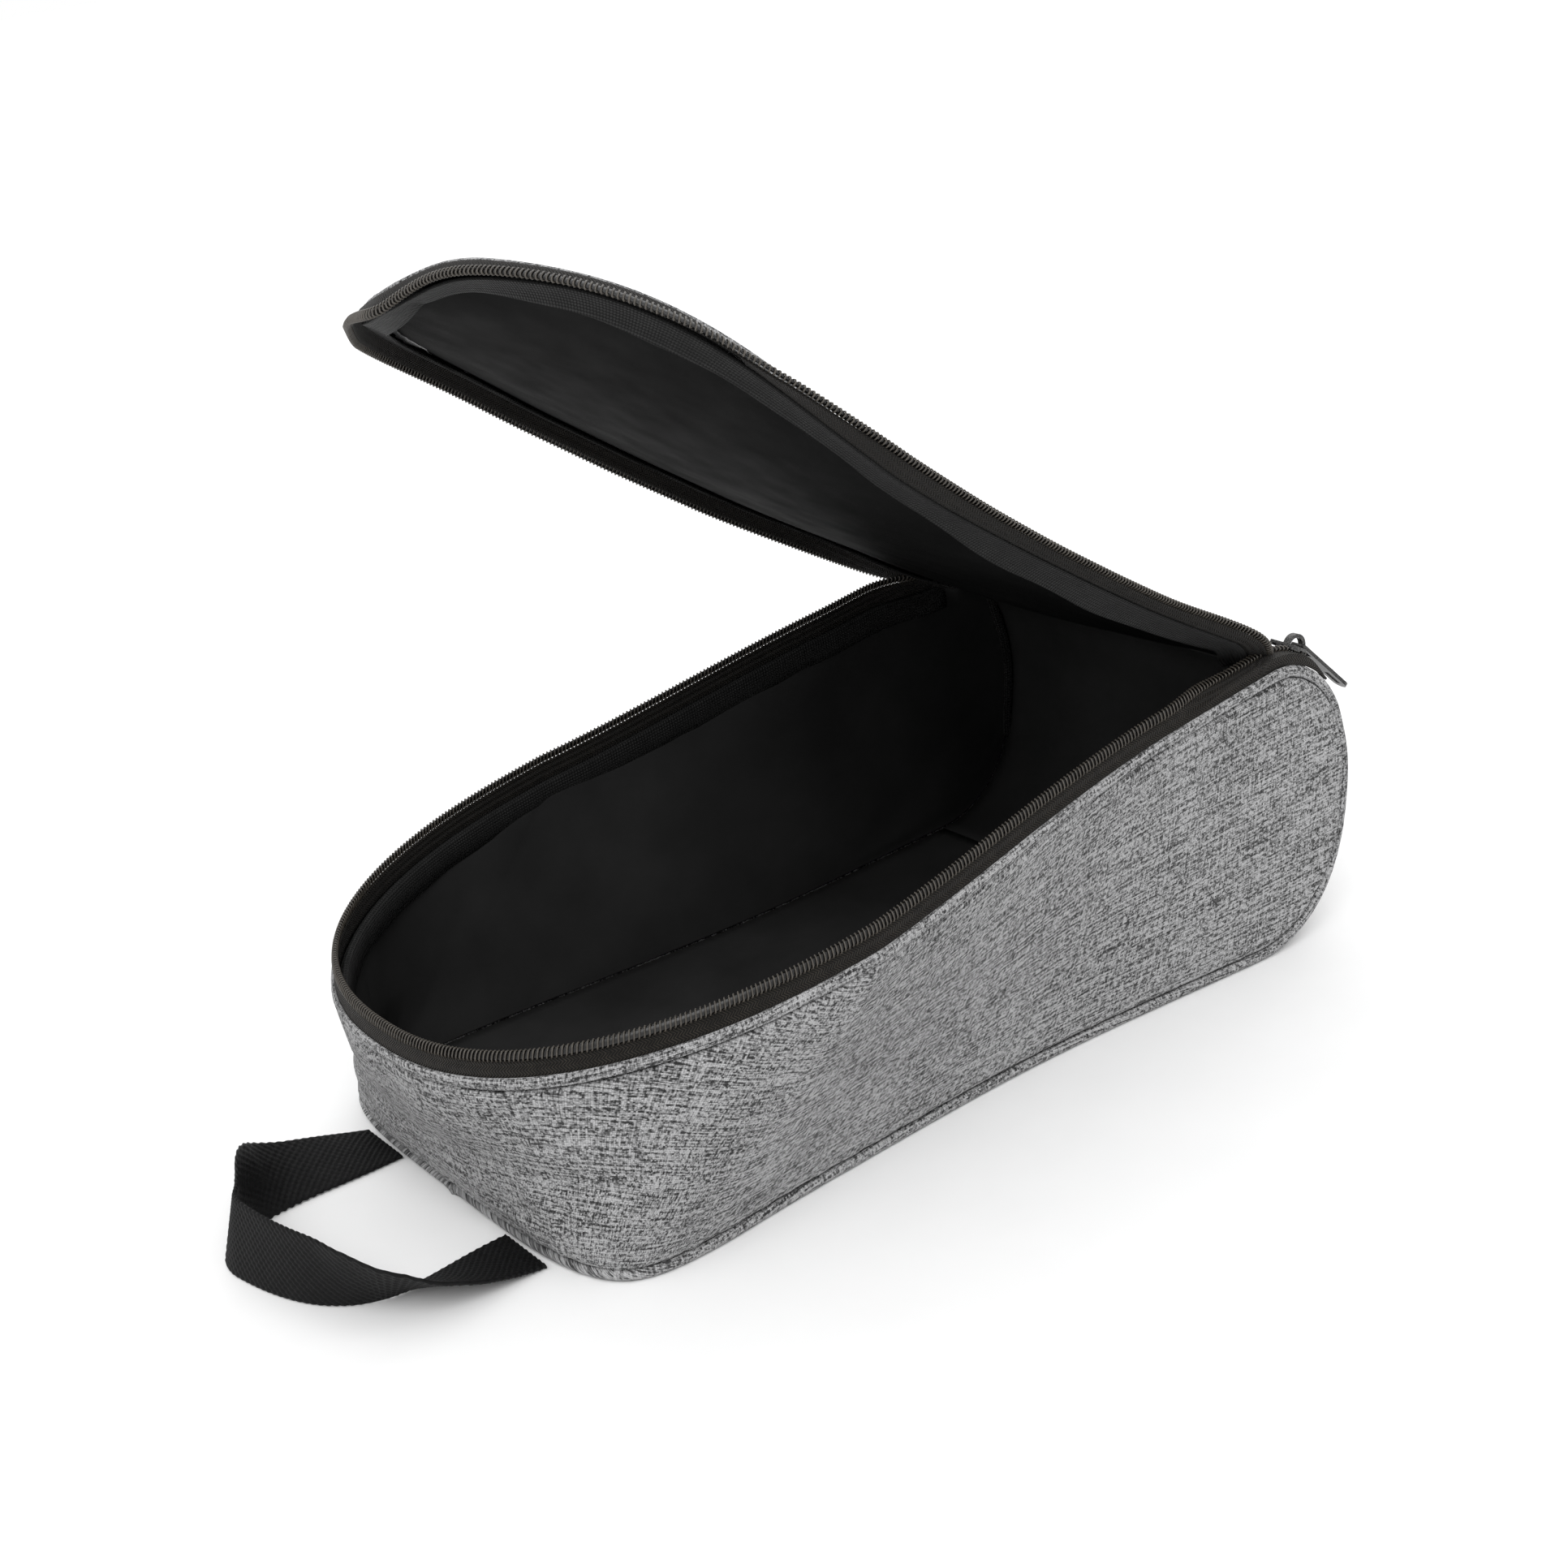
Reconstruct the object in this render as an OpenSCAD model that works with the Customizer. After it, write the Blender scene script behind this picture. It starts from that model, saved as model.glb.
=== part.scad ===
// Golf shoe bag: a padded fabric shell with a hinged zip lid, a toe handle and a parked slider.
// Millimetres. +X runs from the toe to the heel, +Z is up. The origin lies on the floor,
// under the middle of the bottom panel.

/* [Body] */
// Length of the bottom panel, from the toe seam to the heel panel
body_len = 310; // [280:1:340]
// Width across the heel panel, and of the bottom panel at both its ends
heel_w = 179; // [165:1:195]
// Width of the bottom panel at its waist
waist_w = 166; // [150:1:176]
// Width across the rim at the toe
rim_w = 202; // [190:1:215]
// Height of the rim where it meets the upper heel corner
rim_heel_h = 102; // [94:1:110]
// Height of the rim at the toe
rim_toe_h = 60; // [52:1:66]
// How far the rim stands out past the bottom panel at the toe
toe_overhang = 11; // [4:1:16]
// Slope of the straight rear part of the rim, in degrees
rim_slope = 7; // [5:0.5:8]
// Radius of the lower heel corner
lower_r = 42; // [34:1:50]
// Radius of the upper heel corner
upper_r = 24; // [20:1:30]

/* [Layers] */
// Thickness of the backed outer fabric
shell_t = 1.2; // [0.8:0.1:1.6]
// Thickness of the foam padding
foam_t = 2; // [1.5:0.1:3]
// Thickness of the lining
lining_t = 0.6; // [0.4:0.1:1]
// Thickness of the stiffener board in the bottom
board_t = 2; // [1:0.1:3]
// Width of the turned edge between each seam and the edge it follows
seam_w = 4; // [3:0.5:6]
// Width of the seam binding inside the bag
binding_w = 10; // [8:0.5:14]
// Thickness of the seam binding
binding_t = 0.8; // [0.5:0.1:1.2]

/* [Lid] */
// Angle of the lid above its closed place, in degrees
lid_open = 41; // [20:1:60]
// Turn of the fold line away from square across the bag, in degrees
fold_skew = 6; // [0:1:8]
// Distance of the fold line in front of the heel, at mid width
fold_back = 43; // [38:1:50]
// Rise of the lid's near edge over its flat line, at the crest of its bow
lid_bow_near = 24; // [0:1:26]
// Rise of the lid's far edge over its flat line, at the crest of its bow
lid_bow_far = 11; // [0:1:20]
// Rise of the lid's tip over its flat line
lid_bow_tip = 9; // [0:1:12]

/* [Zipper] */
// Width of tape that shows on each side
tape_w = 4.4; // [3.5:0.1:6]
// Thickness of the tape
tape_t = 0.8; // [0.6:0.1:1]
// Width of one coil
coil_w = 3.8; // [3:0.1:4.5]
// Thickness of one coil
coil_t = 2.2; // [1.8:0.1:2.6]
// Inward lean of the tape from vertical, in degrees
tape_lean = 25; // [10:1:35]
// Turn of the parked slider round the heel corner, past its top, in degrees
park_turn = 33; // [10:1:36]
// Turn of the coil's end round the heel corner, past its top, in degrees
coil_turn = 40; // [36:1:44]
// Turn of the tape's end round the heel corner, past its top, in degrees
tape_turn = 58; // [54:1:62]

/* [Slider] */
// Length of the slider's plates
slider_len = 11; // [10:0.5:12]
// Thickness of each plate
plate_t = 1; // [0.8:0.1:1.3]
// Clearance around the coil inside the slider
slider_gap = 0.3; // [0.3:0.05:0.4]
// Thickness of the flanges beside the slider's mouth
flange_t = 1; // [0.8:0.1:1.2]
// Outer radius of the crown's arch
crown_r = 4.4; // [4:0.1:4.8]
// Thickness of the crown's arch
crown_t = 1.3; // [1:0.1:1.4]
// Width of the crown
crown_w = 2.2; // [1.8:0.1:2.6]
// Length of the puller, from its pivot
puller_len = 29; // [22:1:32]
// Width of the puller
puller_w = 5.6; // [5.2:0.1:7]
// Thickness of the puller
puller_t = 1.2; // [1:0.1:1.4]
// Fall of the puller below the slider's plates, in degrees
puller_drop = 14; // [8:1:18]

/* [Handle] */
// Width of the handle webbing
web_w = 25; // [20:1:30]
// Thickness of the handle webbing
web_t = 1.6; // [1.2:0.1:2]

/* [Hidden] */

$fn = 64;
ply_gap = 0.1;          // between two plies of one body
run_gap = 0.3;          // between two bodies
far = 400;              // longer than any panel, for cutting blocks

// Places along the bag
heel_x = body_len / 2;
toe_x = -body_len / 2;
waist_back = 136.4;      // from the heel to the bottom panel's waist
rim_straight = 140;     // from the heel to the rim's downward bend
rim_parallel = 80;      // from the heel to where the rim begins to widen
bottom_round = 37;      // length of the bottom panel's rounded toe
bottom_power = 4.1;     // squareness of that toe
rim_round = 120;        // length of the rim's rounded toe
rim_power = 2.35;       // squareness of that toe
bottom_round_x = toe_x + bottom_round;
rim_tip_x = toe_x - toe_overhang;
rim_round_x = rim_tip_x + rim_round;
waist_x = heel_x - waist_back;
rim_bend_x = heel_x - rim_straight;
rim_flare_x = heel_x - rim_parallel;
upper_x = heel_x - upper_r;
lower_x = heel_x - lower_r;

// Depths below the outer face
foam_d = shell_t + ply_gap;
lining_d = foam_d + foam_t + ply_gap;
inside_d = lining_d + lining_t;
seam_d = seam_w + ply_gap / 2;

// Colours
heather = [0.52, 0.52, 0.53];
black_cloth = [0.06, 0.06, 0.065];
foam_white = [0.85, 0.85, 0.83];
board_grey = [0.25, 0.25, 0.26];
tape_brown = [0.1, 0.09, 0.075];
coil_brown = [0.16, 0.145, 0.12];
gunmetal = [0.09, 0.09, 0.1];

function ease(t) = t * t * (3 - 2 * t);
function mix(a, b, t) = a + (b - a) * t;
function unit(v) = v / norm(v);

// ---- Outlines ----------------------------------------------------------------------------

// Half-width of the bottom panel behind its rounded toe
function bottom_half(x) = x < waist_x
    ? mix(waist_w, heel_w, ease(min(1, (waist_x - x) / (waist_x - bottom_round_x)))) / 2
    : mix(waist_w, heel_w, ease((x - waist_x) / (heel_x - waist_x))) / 2;

// Half-width across the rim behind its rounded toe; it is parallel near the heel
function rim_half(x) =
    mix(heel_w, rim_w, pow(max(0, min(1, (rim_flare_x - x) / (rim_flare_x - rim_round_x))), 1.2)) / 2;

// Height of the rim line
rim_rise = tan(rim_slope);
rim_bend_z = rim_heel_h - rim_rise * (upper_x - rim_bend_x);
rim_drop = (rim_bend_z - rim_rise * (rim_bend_x - rim_tip_x) - rim_toe_h)
    / pow(rim_bend_x - rim_tip_x, 2);
function rim_z(x) = rim_heel_h - rim_rise * (upper_x - x)
    - (x < rim_bend_x ? rim_drop * pow(rim_bend_x - x, 2) : 0);

// One point of a rounded toe, for an angle from 0 at its side to 90 at its tip
function toe_point(round_x, length, half, power, a) =
    [round_x - length * pow(sin(a), 2 / power), half * pow(cos(a), 2 / power)];

side_steps = 14;
toe_steps = 12;
arc_steps = 6;
upper_z = rim_heel_h - upper_r / cos(rim_slope);
tangent_x = upper_x - upper_r * sin(rim_slope);

// Near half of the bottom seam's line as [x, half-width, z], from the heel to the toe tip.
// inset is the distance inside the bag's side profile.
function bottom_half_rail(inset) = concat(
    [for (i = [0:arc_steps]) let (
        a = 90 - 90 * i / arc_steps,
        r = lower_r - inset,
        x = lower_x + r * sin(a))
        [x, bottom_half(x), lower_r - r * cos(a)]],
    [for (i = [1:side_steps]) let (x = mix(lower_x, bottom_round_x, i / side_steps))
        [x, bottom_half(x), inset]],
    [for (i = [1:toe_steps]) let (
        p = toe_point(bottom_round_x, bottom_round, heel_w / 2, bottom_power, 90 * i / toe_steps))
        [p[0], p[1], inset]]);

// The same for the rim, where the upper heel corner takes the place of the lower one
function rim_half_rail(inset) = concat(
    [for (i = [0:arc_steps]) let (
        a = (90 + rim_slope) * i / arc_steps,
        r = upper_r - inset,
        x = upper_x + r * cos(a))
        [x, rim_half(x), upper_z + r * sin(a)]],
    [for (i = [1:side_steps]) let (
        x = mix(upper_x - (upper_r - inset) * sin(rim_slope), rim_round_x, i / side_steps))
        [x, rim_half(x), rim_z(x) - inset]],
    [for (i = [1:toe_steps]) let (
        p = toe_point(rim_round_x, rim_round, rim_w / 2, rim_power, 90 * i / toe_steps))
        [p[0], p[1], rim_z(p[0]) - inset]]);

// The rim line from one place on the near side, round the toe, to one on the far side
function rim_run(near_x, far_x) = concat(
    [for (i = [0:side_steps - 1]) let (x = mix(near_x, rim_round_x, i / side_steps))
        [x, -rim_half(x), rim_z(x), 0]],
    [for (i = [0:2 * toe_steps]) let (
        a = 90 * i / toe_steps,
        p = toe_point(rim_round_x, rim_round, rim_w / 2, rim_power, a > 90 ? 180 - a : a))
        [p[0], a > 90 ? p[1] : -p[1], rim_z(p[0]), 0]],
    [for (i = [side_steps - 1:-1:0]) let (x = mix(far_x, rim_round_x, i / side_steps))
        [x, rim_half(x), rim_z(x), 0]]);

// The same, begun and ended some degrees round the upper heel corner.
// The fourth number is the tilt of a point's own upright towards the heel.
function corner_point(side, a) =
    [upper_x + upper_r * sin(a), side * heel_w / 2, upper_z + upper_r * cos(a), a];
function corner_run(turn) = concat(
    [for (i = [0:arc_steps - 1]) corner_point(-1, mix(turn, -rim_slope, i / arc_steps))],
    rim_run(tangent_x, tangent_x),
    [for (i = [arc_steps - 1:-1:0]) corner_point(1, mix(turn, -rim_slope, i / arc_steps))]);

// Both halves of a rail, near side first
function whole_rail(half_rail) = let (last = len(half_rail) - 1) concat(
    [for (p = half_rail) [p[0], -p[1], p[2]]],
    [for (i = [last - 1:-1:0]) half_rail[i]]);

// Inward normal of a rail in plan, at its point i
function inward(rail, i) = let (
    a = rail[max(i - 1, 0)],
    b = rail[min(i + 1, len(rail) - 1)],
    t = unit([b[0] - a[0], b[1] - a[1]]))
    [t[1], -t[0]];

// A rail's point moved inwards
function inset(rail, i, depth) = let (n = inward(rail, i))
    [rail[i][0] + n[0] * depth, rail[i][1] + n[1] * depth, rail[i][2]];

// A rail's point moved inwards, and along its own upright
function moved(rail, i, depth, rise) = let (a = rail[i][3])
    inset(rail, i, depth) + rise * [sin(a), 0, cos(a)];

// Plan outline of the bottom panel or of the rim, at a depth inside its edge
function plan_of(rail, depth) =
    [for (i = [0:len(rail) - 1]) let (p = inset(rail, i, depth)) [p[0], p[1]]];

// ---- Shared shapes -----------------------------------------------------------------------

// Solid through a list of rings, each an even number of points in order round the section
module sweep(rings) {
    m = len(rings[0]);
    n = len(rings);
    cap = [for (k = [0:m / 2 - 2]) each [[k, k + 1, m - 2 - k], [k, m - 2 - k, m - 1 - k]]];
    polyhedron(
        points = [for (r = rings) each r],
        faces = concat(
            [for (f = cap) f],
            [for (f = cap) [for (j = [2:-1:0]) f[j] + (n - 1) * m]],
            [for (i = [0:n - 2], k = [0:m - 1]) let (
                a = i * m + k,
                b = i * m + (k + 1) % m) each k < m / 2
                    ? [[a, a + m, b], [b, a + m, b + m]]
                    : [[a, a + m, b + m], [a, b + m, b]]]));
}

// The wall is ruled between these two lines, just inside its seams
wall_low = whole_rail(bottom_half_rail(seam_d));
wall_high = whole_rail(rim_half_rail(seam_d));

// Ring across one ply of the wall, from a share s0 of its height to a share s1
function wall_ring(i, d0, d1, s0, s1, steps) = let (
    a = inset(wall_low, i, d0), b = inset(wall_high, i, d0),
    c = inset(wall_low, i, d1), d = inset(wall_high, i, d1))
    concat([for (k = [0:steps]) mix(a, b, mix(s0, s1, k / steps))],
        [for (k = [steps:-1:0]) mix(c, d, mix(s0, s1, k / steps))]);

// One ply of the wall, from the near heel round the toe to the far heel
module wall_ply(d0, d1) {
    sweep([for (i = [0:len(wall_low) - 1]) wall_ring(i, d0, d1, 0, 1, 3)]);
}

// Strip along the rim, with one section of [depth, height] points for each place
module rim_sweep(rail, sections) {
    sweep([for (i = [0:len(rail) - 1]) [for (s = sections[i]) moved(rail, i, s[0], s[1])]]);
}

// The same with one section throughout
module rim_strip(rail, section) {
    rim_sweep(rail, [for (p = rail) section]);
}

// Rear part of the side view, inset from the outer profile
module heel_region(inset) {
    low = lower_r - inset;
    high = upper_r - inset;
    tangent = [upper_x - high * sin(rim_slope), upper_z + high * cos(rim_slope)];
    polygon([[0, inset], [lower_x, inset], [heel_x - inset, lower_r], [heel_x - inset, upper_z],
        tangent, [0, tangent[1] - rim_rise * tangent[0]]]);
    translate([lower_x, lower_r]) circle(low);
    translate([upper_x, upper_z]) circle(high);
}

// Band between two insets of the side view, behind the bottom panel and the fold
module heel_band(d0, d1, start_x) {
    difference() {
        heel_region(d0);
        heel_region(d1);
        translate([lower_x - far, -1]) square([far, lower_r]);
        translate([start_x - far, lower_r - 2]) square([far, rim_heel_h]);
    }
}

// Drawing in the side view, made solid across the bag
module across(width = far) {
    rotate([90, 0, 0]) linear_extrude(width, center = true) children();
}

// Plan of the heel between two equal sides, for the half-widths at heel_xs
heel_xs = [for (i = [0:8]) mix(lower_x - 2, heel_x + 1, i / 8)];
function heel_plan(halves) = concat(
    [for (i = [0:8]) [heel_xs[i], -halves[i]]],
    [for (i = [8:-1:0]) [heel_xs[i], halves[i]]]);

// Column over the heel's plan, narrowed by a depth on each side
module heel_column(depth) {
    middle = upper_z / 2;
    translate([0, 0, -1]) linear_extrude(middle + 1)
        polygon(heel_plan([for (x = heel_xs) bottom_half(min(x, heel_x)) - depth]));
    translate([0, 0, middle]) linear_extrude(far)
        polygon(heel_plan([for (x = heel_xs) rim_half(x) - depth]));
}

// Panel lying along the bottom, in front of the lower heel corner
module bottom_plate(z0, z1, depth) {
    translate([0, 0, z0]) linear_extrude(z1 - z0) bottom_plan(depth);
}
module bottom_plan(depth) {
    intersection() {
        polygon(plan_of(whole_rail(bottom_half_rail(0)), depth));
        translate([lower_x - ply_gap - far, -far / 2]) square([far, far]);
    }
}

// Heel ply: the band across the heel, between the wall plies
module heel_ply(d0, d1, side_depth) {
    intersection() {
        across() heel_band(d0, d1, fold_start_x);
        heel_column(side_depth);
    }
}

// ---- Lid frame ---------------------------------------------------------------------------

coil_d = foam_d + tape_t / 2;
meet_t = tape_w + ply_gap + coil_w + run_gap / 2;      // zipper's centreline, along the tape
coil_top = (meet_t - run_gap / 2) * cos(tape_lean) + coil_t / 2 * tan(22.5) * sin(tape_lean);
lid_under = 2 * coil_top + run_gap;       // height of the lid's underside over the rim
lean_run = 35;                            // stretch over which the zipper stands up
channel_low = coil_t / 2 + slider_gap + slider_len * slider_len / (8 * upper_r);
channel_high = coil_t / 2 + slider_gap;
slider_half_w = meet_t - tape_w - ply_gap + slider_gap + flange_t;
zip_lift = run_gap + plate_t + channel_low;   // height of the flat tape over the heel corner
lid_t = inside_d;
fold_t = 3;                               // thickness of the fold's gathered fabric
fold_rise = tan(33);                      // slope of that fabric, from the heel to the fold
fold_gap = 1;                             // between the fold and the slider
fold_x = heel_x - fold_back;
fold_z = rim_z(fold_x) + lid_under + lid_t;
fold_start_x = upper_x + 4;
lid_zip_back = 3;                         // length of free fabric between fold and lid zipper
fold_half_w = heel_w / 2 - coil_d - meet_t - slider_half_w - fold_gap;

// Place of the fold line at a half-width, on the near side for a negative one
function fold_line_x(y) = fold_x - y * tan(fold_skew);

// Turns what is drawn in the closed place up to the open one
module opened() {
    translate([fold_x, 0, fold_z])
        rotate(a = lid_open, v = [-sin(fold_skew), cos(fold_skew), 0])
            translate([-fold_x, 0, -fold_z]) children();
}

// Everything in front of the fold line
module before_fold(gap) {
    translate([fold_x, 0, 0]) rotate([0, 0, fold_skew])
        translate([-far - gap, -far / 2, 0]) cube([far, far, far]);
}

// The unzipped lid's bow: each edge rises from its start to a crest and comes down at the tip
bow_near_x = rim_round_x;
bow_far_x = fold_x - 60;
bow_crest_x = rim_tip_x + 30;
function edge_bow(x, start_x, crest) = x > bow_crest_x
    ? crest * ease(max(0, (start_x - x) / (start_x - bow_crest_x)))
    : mix(crest, lid_bow_tip, pow((bow_crest_x - x) / (bow_crest_x - rim_tip_x), 2));
function lid_bow(x, y) = mix(
    edge_bow(x, bow_near_x, lid_bow_near), edge_bow(x, bow_far_x, lid_bow_far), 0.5 + y / rim_w);

lid_zip_run = [for (p = rim_run(
    fold_line_x(-rim_half(fold_x)) - lid_zip_back, fold_line_x(rim_half(fold_x)) - lid_zip_back))
    p + [0, 0, lid_bow(p[0], p[1]), 0]];

// One ply of the lid, between two heights over the rim and inside a depth from its edge
lid_back_x = fold_x + 25;
lid_strips = 8;         // flat strips that the bow is cut into across the lid
module lid_ply(h0, h1, depth) {
    outline = rim_run(lid_back_x, lid_back_x);
    xs = concat([for (i = [0:side_steps + toe_steps]) outline[i][0]], [rim_tip_x - 5]);
    ys = [for (k = [0:lid_strips]) (k / lid_strips - 0.5) * (rim_w + 2)];
    opened() intersection() {
        sweep([for (x = xs) concat(
            [for (k = [0:lid_strips]) [x, ys[k], rim_z(x) + lid_bow(x, ys[k]) + h1]],
            [for (k = [lid_strips:-1:0]) [x, ys[k], rim_z(x) + lid_bow(x, ys[k]) + h0]])]);
        linear_extrude(far) polygon(plan_of(outline, depth));
        before_fold(run_gap);
    }
}

// ---- Body --------------------------------------------------------------------------------

// Bottom panel with its turned-up edge
module bottom_shell() {
    color(heather) {
        bottom_plate(0, shell_t, 0);
        difference() {
            bottom_plate(0, seam_w, 0);
            translate([0, 0, -1]) linear_extrude(seam_w + 2)
                polygon([for (p = plan_of(whole_rail(bottom_half_rail(0)), shell_t))
                    [p[0] > lower_x - 1 ? heel_x : p[0], p[1]]]);
        }
    }
}

// Heel panel from the bottom up to the fold, with its turned edges on both sides
module heel_shell() {
    color(heather) {
        heel_ply(0, shell_t, 0);
        difference() {
            intersection() {
                across() heel_band(0, seam_w, upper_x + ply_gap);
                heel_column(0);
            }
            heel_column(shell_t);
        }
    }
}

// Side and toe wall in one piece
module wall_shell() {
    color(heather) wall_ply(0, shell_t);
}

// Narrow strip between the wall seam and the zipper
module rim_band() {
    color(heather) rim_strip(rim_run(upper_x - ply_gap, upper_x - ply_gap),
        [[0, -seam_w], [0, 0], [shell_t, 0], [shell_t, -seam_w]]);
}

module bottom_board() {
    color(board_grey) bottom_plate(foam_d, foam_d + board_t, inside_d + ply_gap);
}

module wall_foam() {
    color(foam_white) wall_ply(foam_d, foam_d + foam_t);
}

module heel_foam() {
    color(foam_white) heel_ply(foam_d, foam_d + foam_t, inside_d + ply_gap);
}

module bottom_lining() {
    z0 = foam_d + board_t + ply_gap;
    color(black_cloth) bottom_plate(z0, z0 + lining_t, inside_d + ply_gap);
}

module wall_lining() {
    color(black_cloth) wall_ply(lining_d, inside_d);
}

module heel_lining() {
    color(black_cloth) heel_ply(lining_d, inside_d, inside_d + ply_gap);
}

// Binding over the raw edges under the zipper
module rim_binding() {
    d0 = inside_d + ply_gap;
    first = arc_steps + 1;
    color(black_cloth) sweep([for (i = [first:len(wall_low) - 1 - first]) let (
        share = binding_w / norm(wall_high[i] - wall_low[i]))
        wall_ring(i, d0, d0 + binding_t, 1 - share, 1, 1)]);
}

// Upright binding in an inner heel corner
module heel_binding(side) {
    d0 = inside_d + ply_gap;
    z0 = lower_r + 2;
    x1 = heel_x - d0;
    half = heel_w / 2 - d0 - ply_gap;
    color(black_cloth) translate([x1 - binding_w, side * (half - binding_t / 2) - binding_t / 2, z0])
        cube([binding_w, binding_t, upper_z - z0]);
}

// ---- Zipper ------------------------------------------------------------------------------

// Change from flat on the heel corner, at 0, to leaning in front of the slider's run, at 1
function lean_share(x) = ease(max(0, min(1, (tangent_x - slider_len - x) / lean_run)));
function lean_at(x) = mix(90, tape_lean, lean_share(x));
function lift_at(x) = mix(zip_lift, 0, lean_share(x));

// Section point of a leaning strip: t along it from the rim, u across it towards the outside
function leaned(lean, lift, t, u) =
    [coil_d + t * sin(lean) - u * cos(lean), lift + t * cos(lean) + u * sin(lean)];

// Section of a tape that stands up from its foot and then leans inwards
function tape_section(lean, lift, foot) = let (half = tape_t / 2, bend = half * tan(lean / 2))
    [[coil_d - half, foot], [coil_d - half, lift + bend],
        leaned(lean, lift, tape_w, half), leaned(lean, lift, tape_w, -half),
        [coil_d + half, lift - bend], [coil_d + half, foot]];

// Section of a coil: a flattened octagon
function coil_section(lean, lift) = [for (k = [0:7]) let (a = -22.5 - 45 * k)
    leaned(lean, lift, tape_w + ply_gap + coil_w * (0.5 + 0.5 * cos(a) / cos(22.5)),
        coil_t / 2 * sin(a) / cos(22.5))];

// A section turned over, from the rim to the lid's underside
function turned_over(section) =
    [for (k = [len(section) - 1:-1:0]) [section[k][0], lid_under - section[k][1]]];

module zipper_tape_lower() {
    run = corner_run(tape_turn);
    last = len(run) - 1;
    color(tape_brown) rim_sweep(run, [for (i = [0:last])
        i == 0 || i == last
            ? tape_section(90, tape_t / 2 + ply_gap, 0)
            : tape_section(lean_at(run[i][0]), lift_at(run[i][0]),
                run[i][0] > tangent_x ? ply_gap : ply_gap - seam_w)]);
}

module zipper_coil_lower() {
    run = corner_run(coil_turn);
    color(coil_brown) rim_sweep(run,
        [for (p = run) coil_section(lean_at(p[0]), lift_at(p[0]))]);
}

// Bar tack over an end of the tape, on the heel corner
tack_turn = tape_turn + 4;
module zipper_tack(side) {
    size = [1.6, tape_w - 0.4, 0.8];
    color(coil_brown) translate([upper_x, side * heel_w / 2, upper_z])
        rotate([0, tack_turn, 0])
            translate([-size[0] / 2, -side * (coil_d + size[1] / 2) - size[1] / 2, upper_r + ply_gap])
                cube(size);
}

// ---- Hinge and lid -----------------------------------------------------------------------

// Fabric that rises from the heel corner to the fold line
module hinge_fold() {
    start = [fold_start_x - ply_gap, rim_z(fold_start_x) - 1];
    reach = start[0] - fold_line_x(fold_half_w);
    end = [start[0] - reach, start[1] + reach * fold_rise];
    color(heather) difference() {
        across(2 * fold_half_w)
            polygon([start, start - [0, fold_t], end - [0, fold_t], end]);
        before_fold(0);
        translate([0, 0, fold_z]) linear_extrude(far) square(far, center = true);
    }
}

module lid_shell() {
    color(heather) lid_ply(lid_under + lining_t + foam_t + 2 * ply_gap, lid_under + lid_t, 0);
}

module lid_foam() {
    h0 = lid_under + lining_t + ply_gap;
    color(foam_white) lid_ply(h0, h0 + foam_t, coil_d + tape_t);
}

module lid_lining() {
    color(black_cloth) lid_ply(lid_under, lid_under + lining_t, coil_d + tape_t);
}

// Turned edge of the lid, above its zipper
module lid_band() {
    top = lid_under + lining_t + foam_t + ply_gap;
    color(heather) opened() rim_strip(lid_zip_run,
        [[0, top - seam_w], [0, top], [shell_t, top], [shell_t, top - seam_w]]);
}

// Binding ring round the lid's lining
module lid_binding() {
    color(black_cloth) difference() {
        lid_ply(lid_under - ply_gap - binding_t, lid_under - ply_gap, inside_d);
        lid_ply(lid_under - 5, lid_under + 5, inside_d + binding_w);
    }
}

module zipper_tape_upper() {
    top = lid_under + lining_t + foam_t;
    color(tape_brown) opened() rim_strip(lid_zip_run,
        turned_over(tape_section(tape_lean, 0, lid_under - top)));
}

module zipper_coil_upper() {
    color(coil_brown) opened() rim_strip(lid_zip_run,
        turned_over(coil_section(tape_lean, 0)));
}

// ---- Slider and puller -------------------------------------------------------------------

metal_edge = 0.5;       // metal left beyond the crown, and air left round it in the eye
pin_lift = 0.35;        // air under the puller's pin
flange_len = 4;         // length of the flanges beside the mouth
post_len = 2.5;         // length of the wedge that parts the two coils
post_w = 2;             // width of that wedge
slot_len = 8;           // length of the slot in the puller's end
slot_w = 2;             // width of that slot
plate_top = channel_high + plate_t;
crown_x = slider_len / 2 - crown_r - metal_edge;
pin_z = puller_t / 2 + pin_lift;
pin_x = crown_x + sqrt(pow(crown_r - crown_t - puller_t / 2 - run_gap, 2) - pin_z * pin_z);
eye_len = pin_x - crown_x + crown_r + metal_edge;

// Puts a shape drawn about the zipper's centreline onto the heel corner at the parked place
module parked() {
    translate([upper_x, coil_d + meet_t - heel_w / 2, upper_z]) rotate([0, park_turn, 0])
        translate([0, 0, upper_r + zip_lift]) children();
}

// Outline of a slider plate: a wide mouth towards the toe, a narrower back and a nose
module slider_plan(back_x) {
    front_x = -slider_len / 2;
    waist = slider_half_w - flange_t;
    nose = crown_w / 2;
    polygon([[front_x, slider_half_w], [front_x + flange_len, slider_half_w], [back_x, waist],
        [back_x, nose], [slider_len / 2, nose], [slider_len / 2, -nose], [back_x, -nose],
        [back_x, -waist], [front_x + flange_len, -slider_half_w], [front_x, -slider_half_w]]);
}

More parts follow.
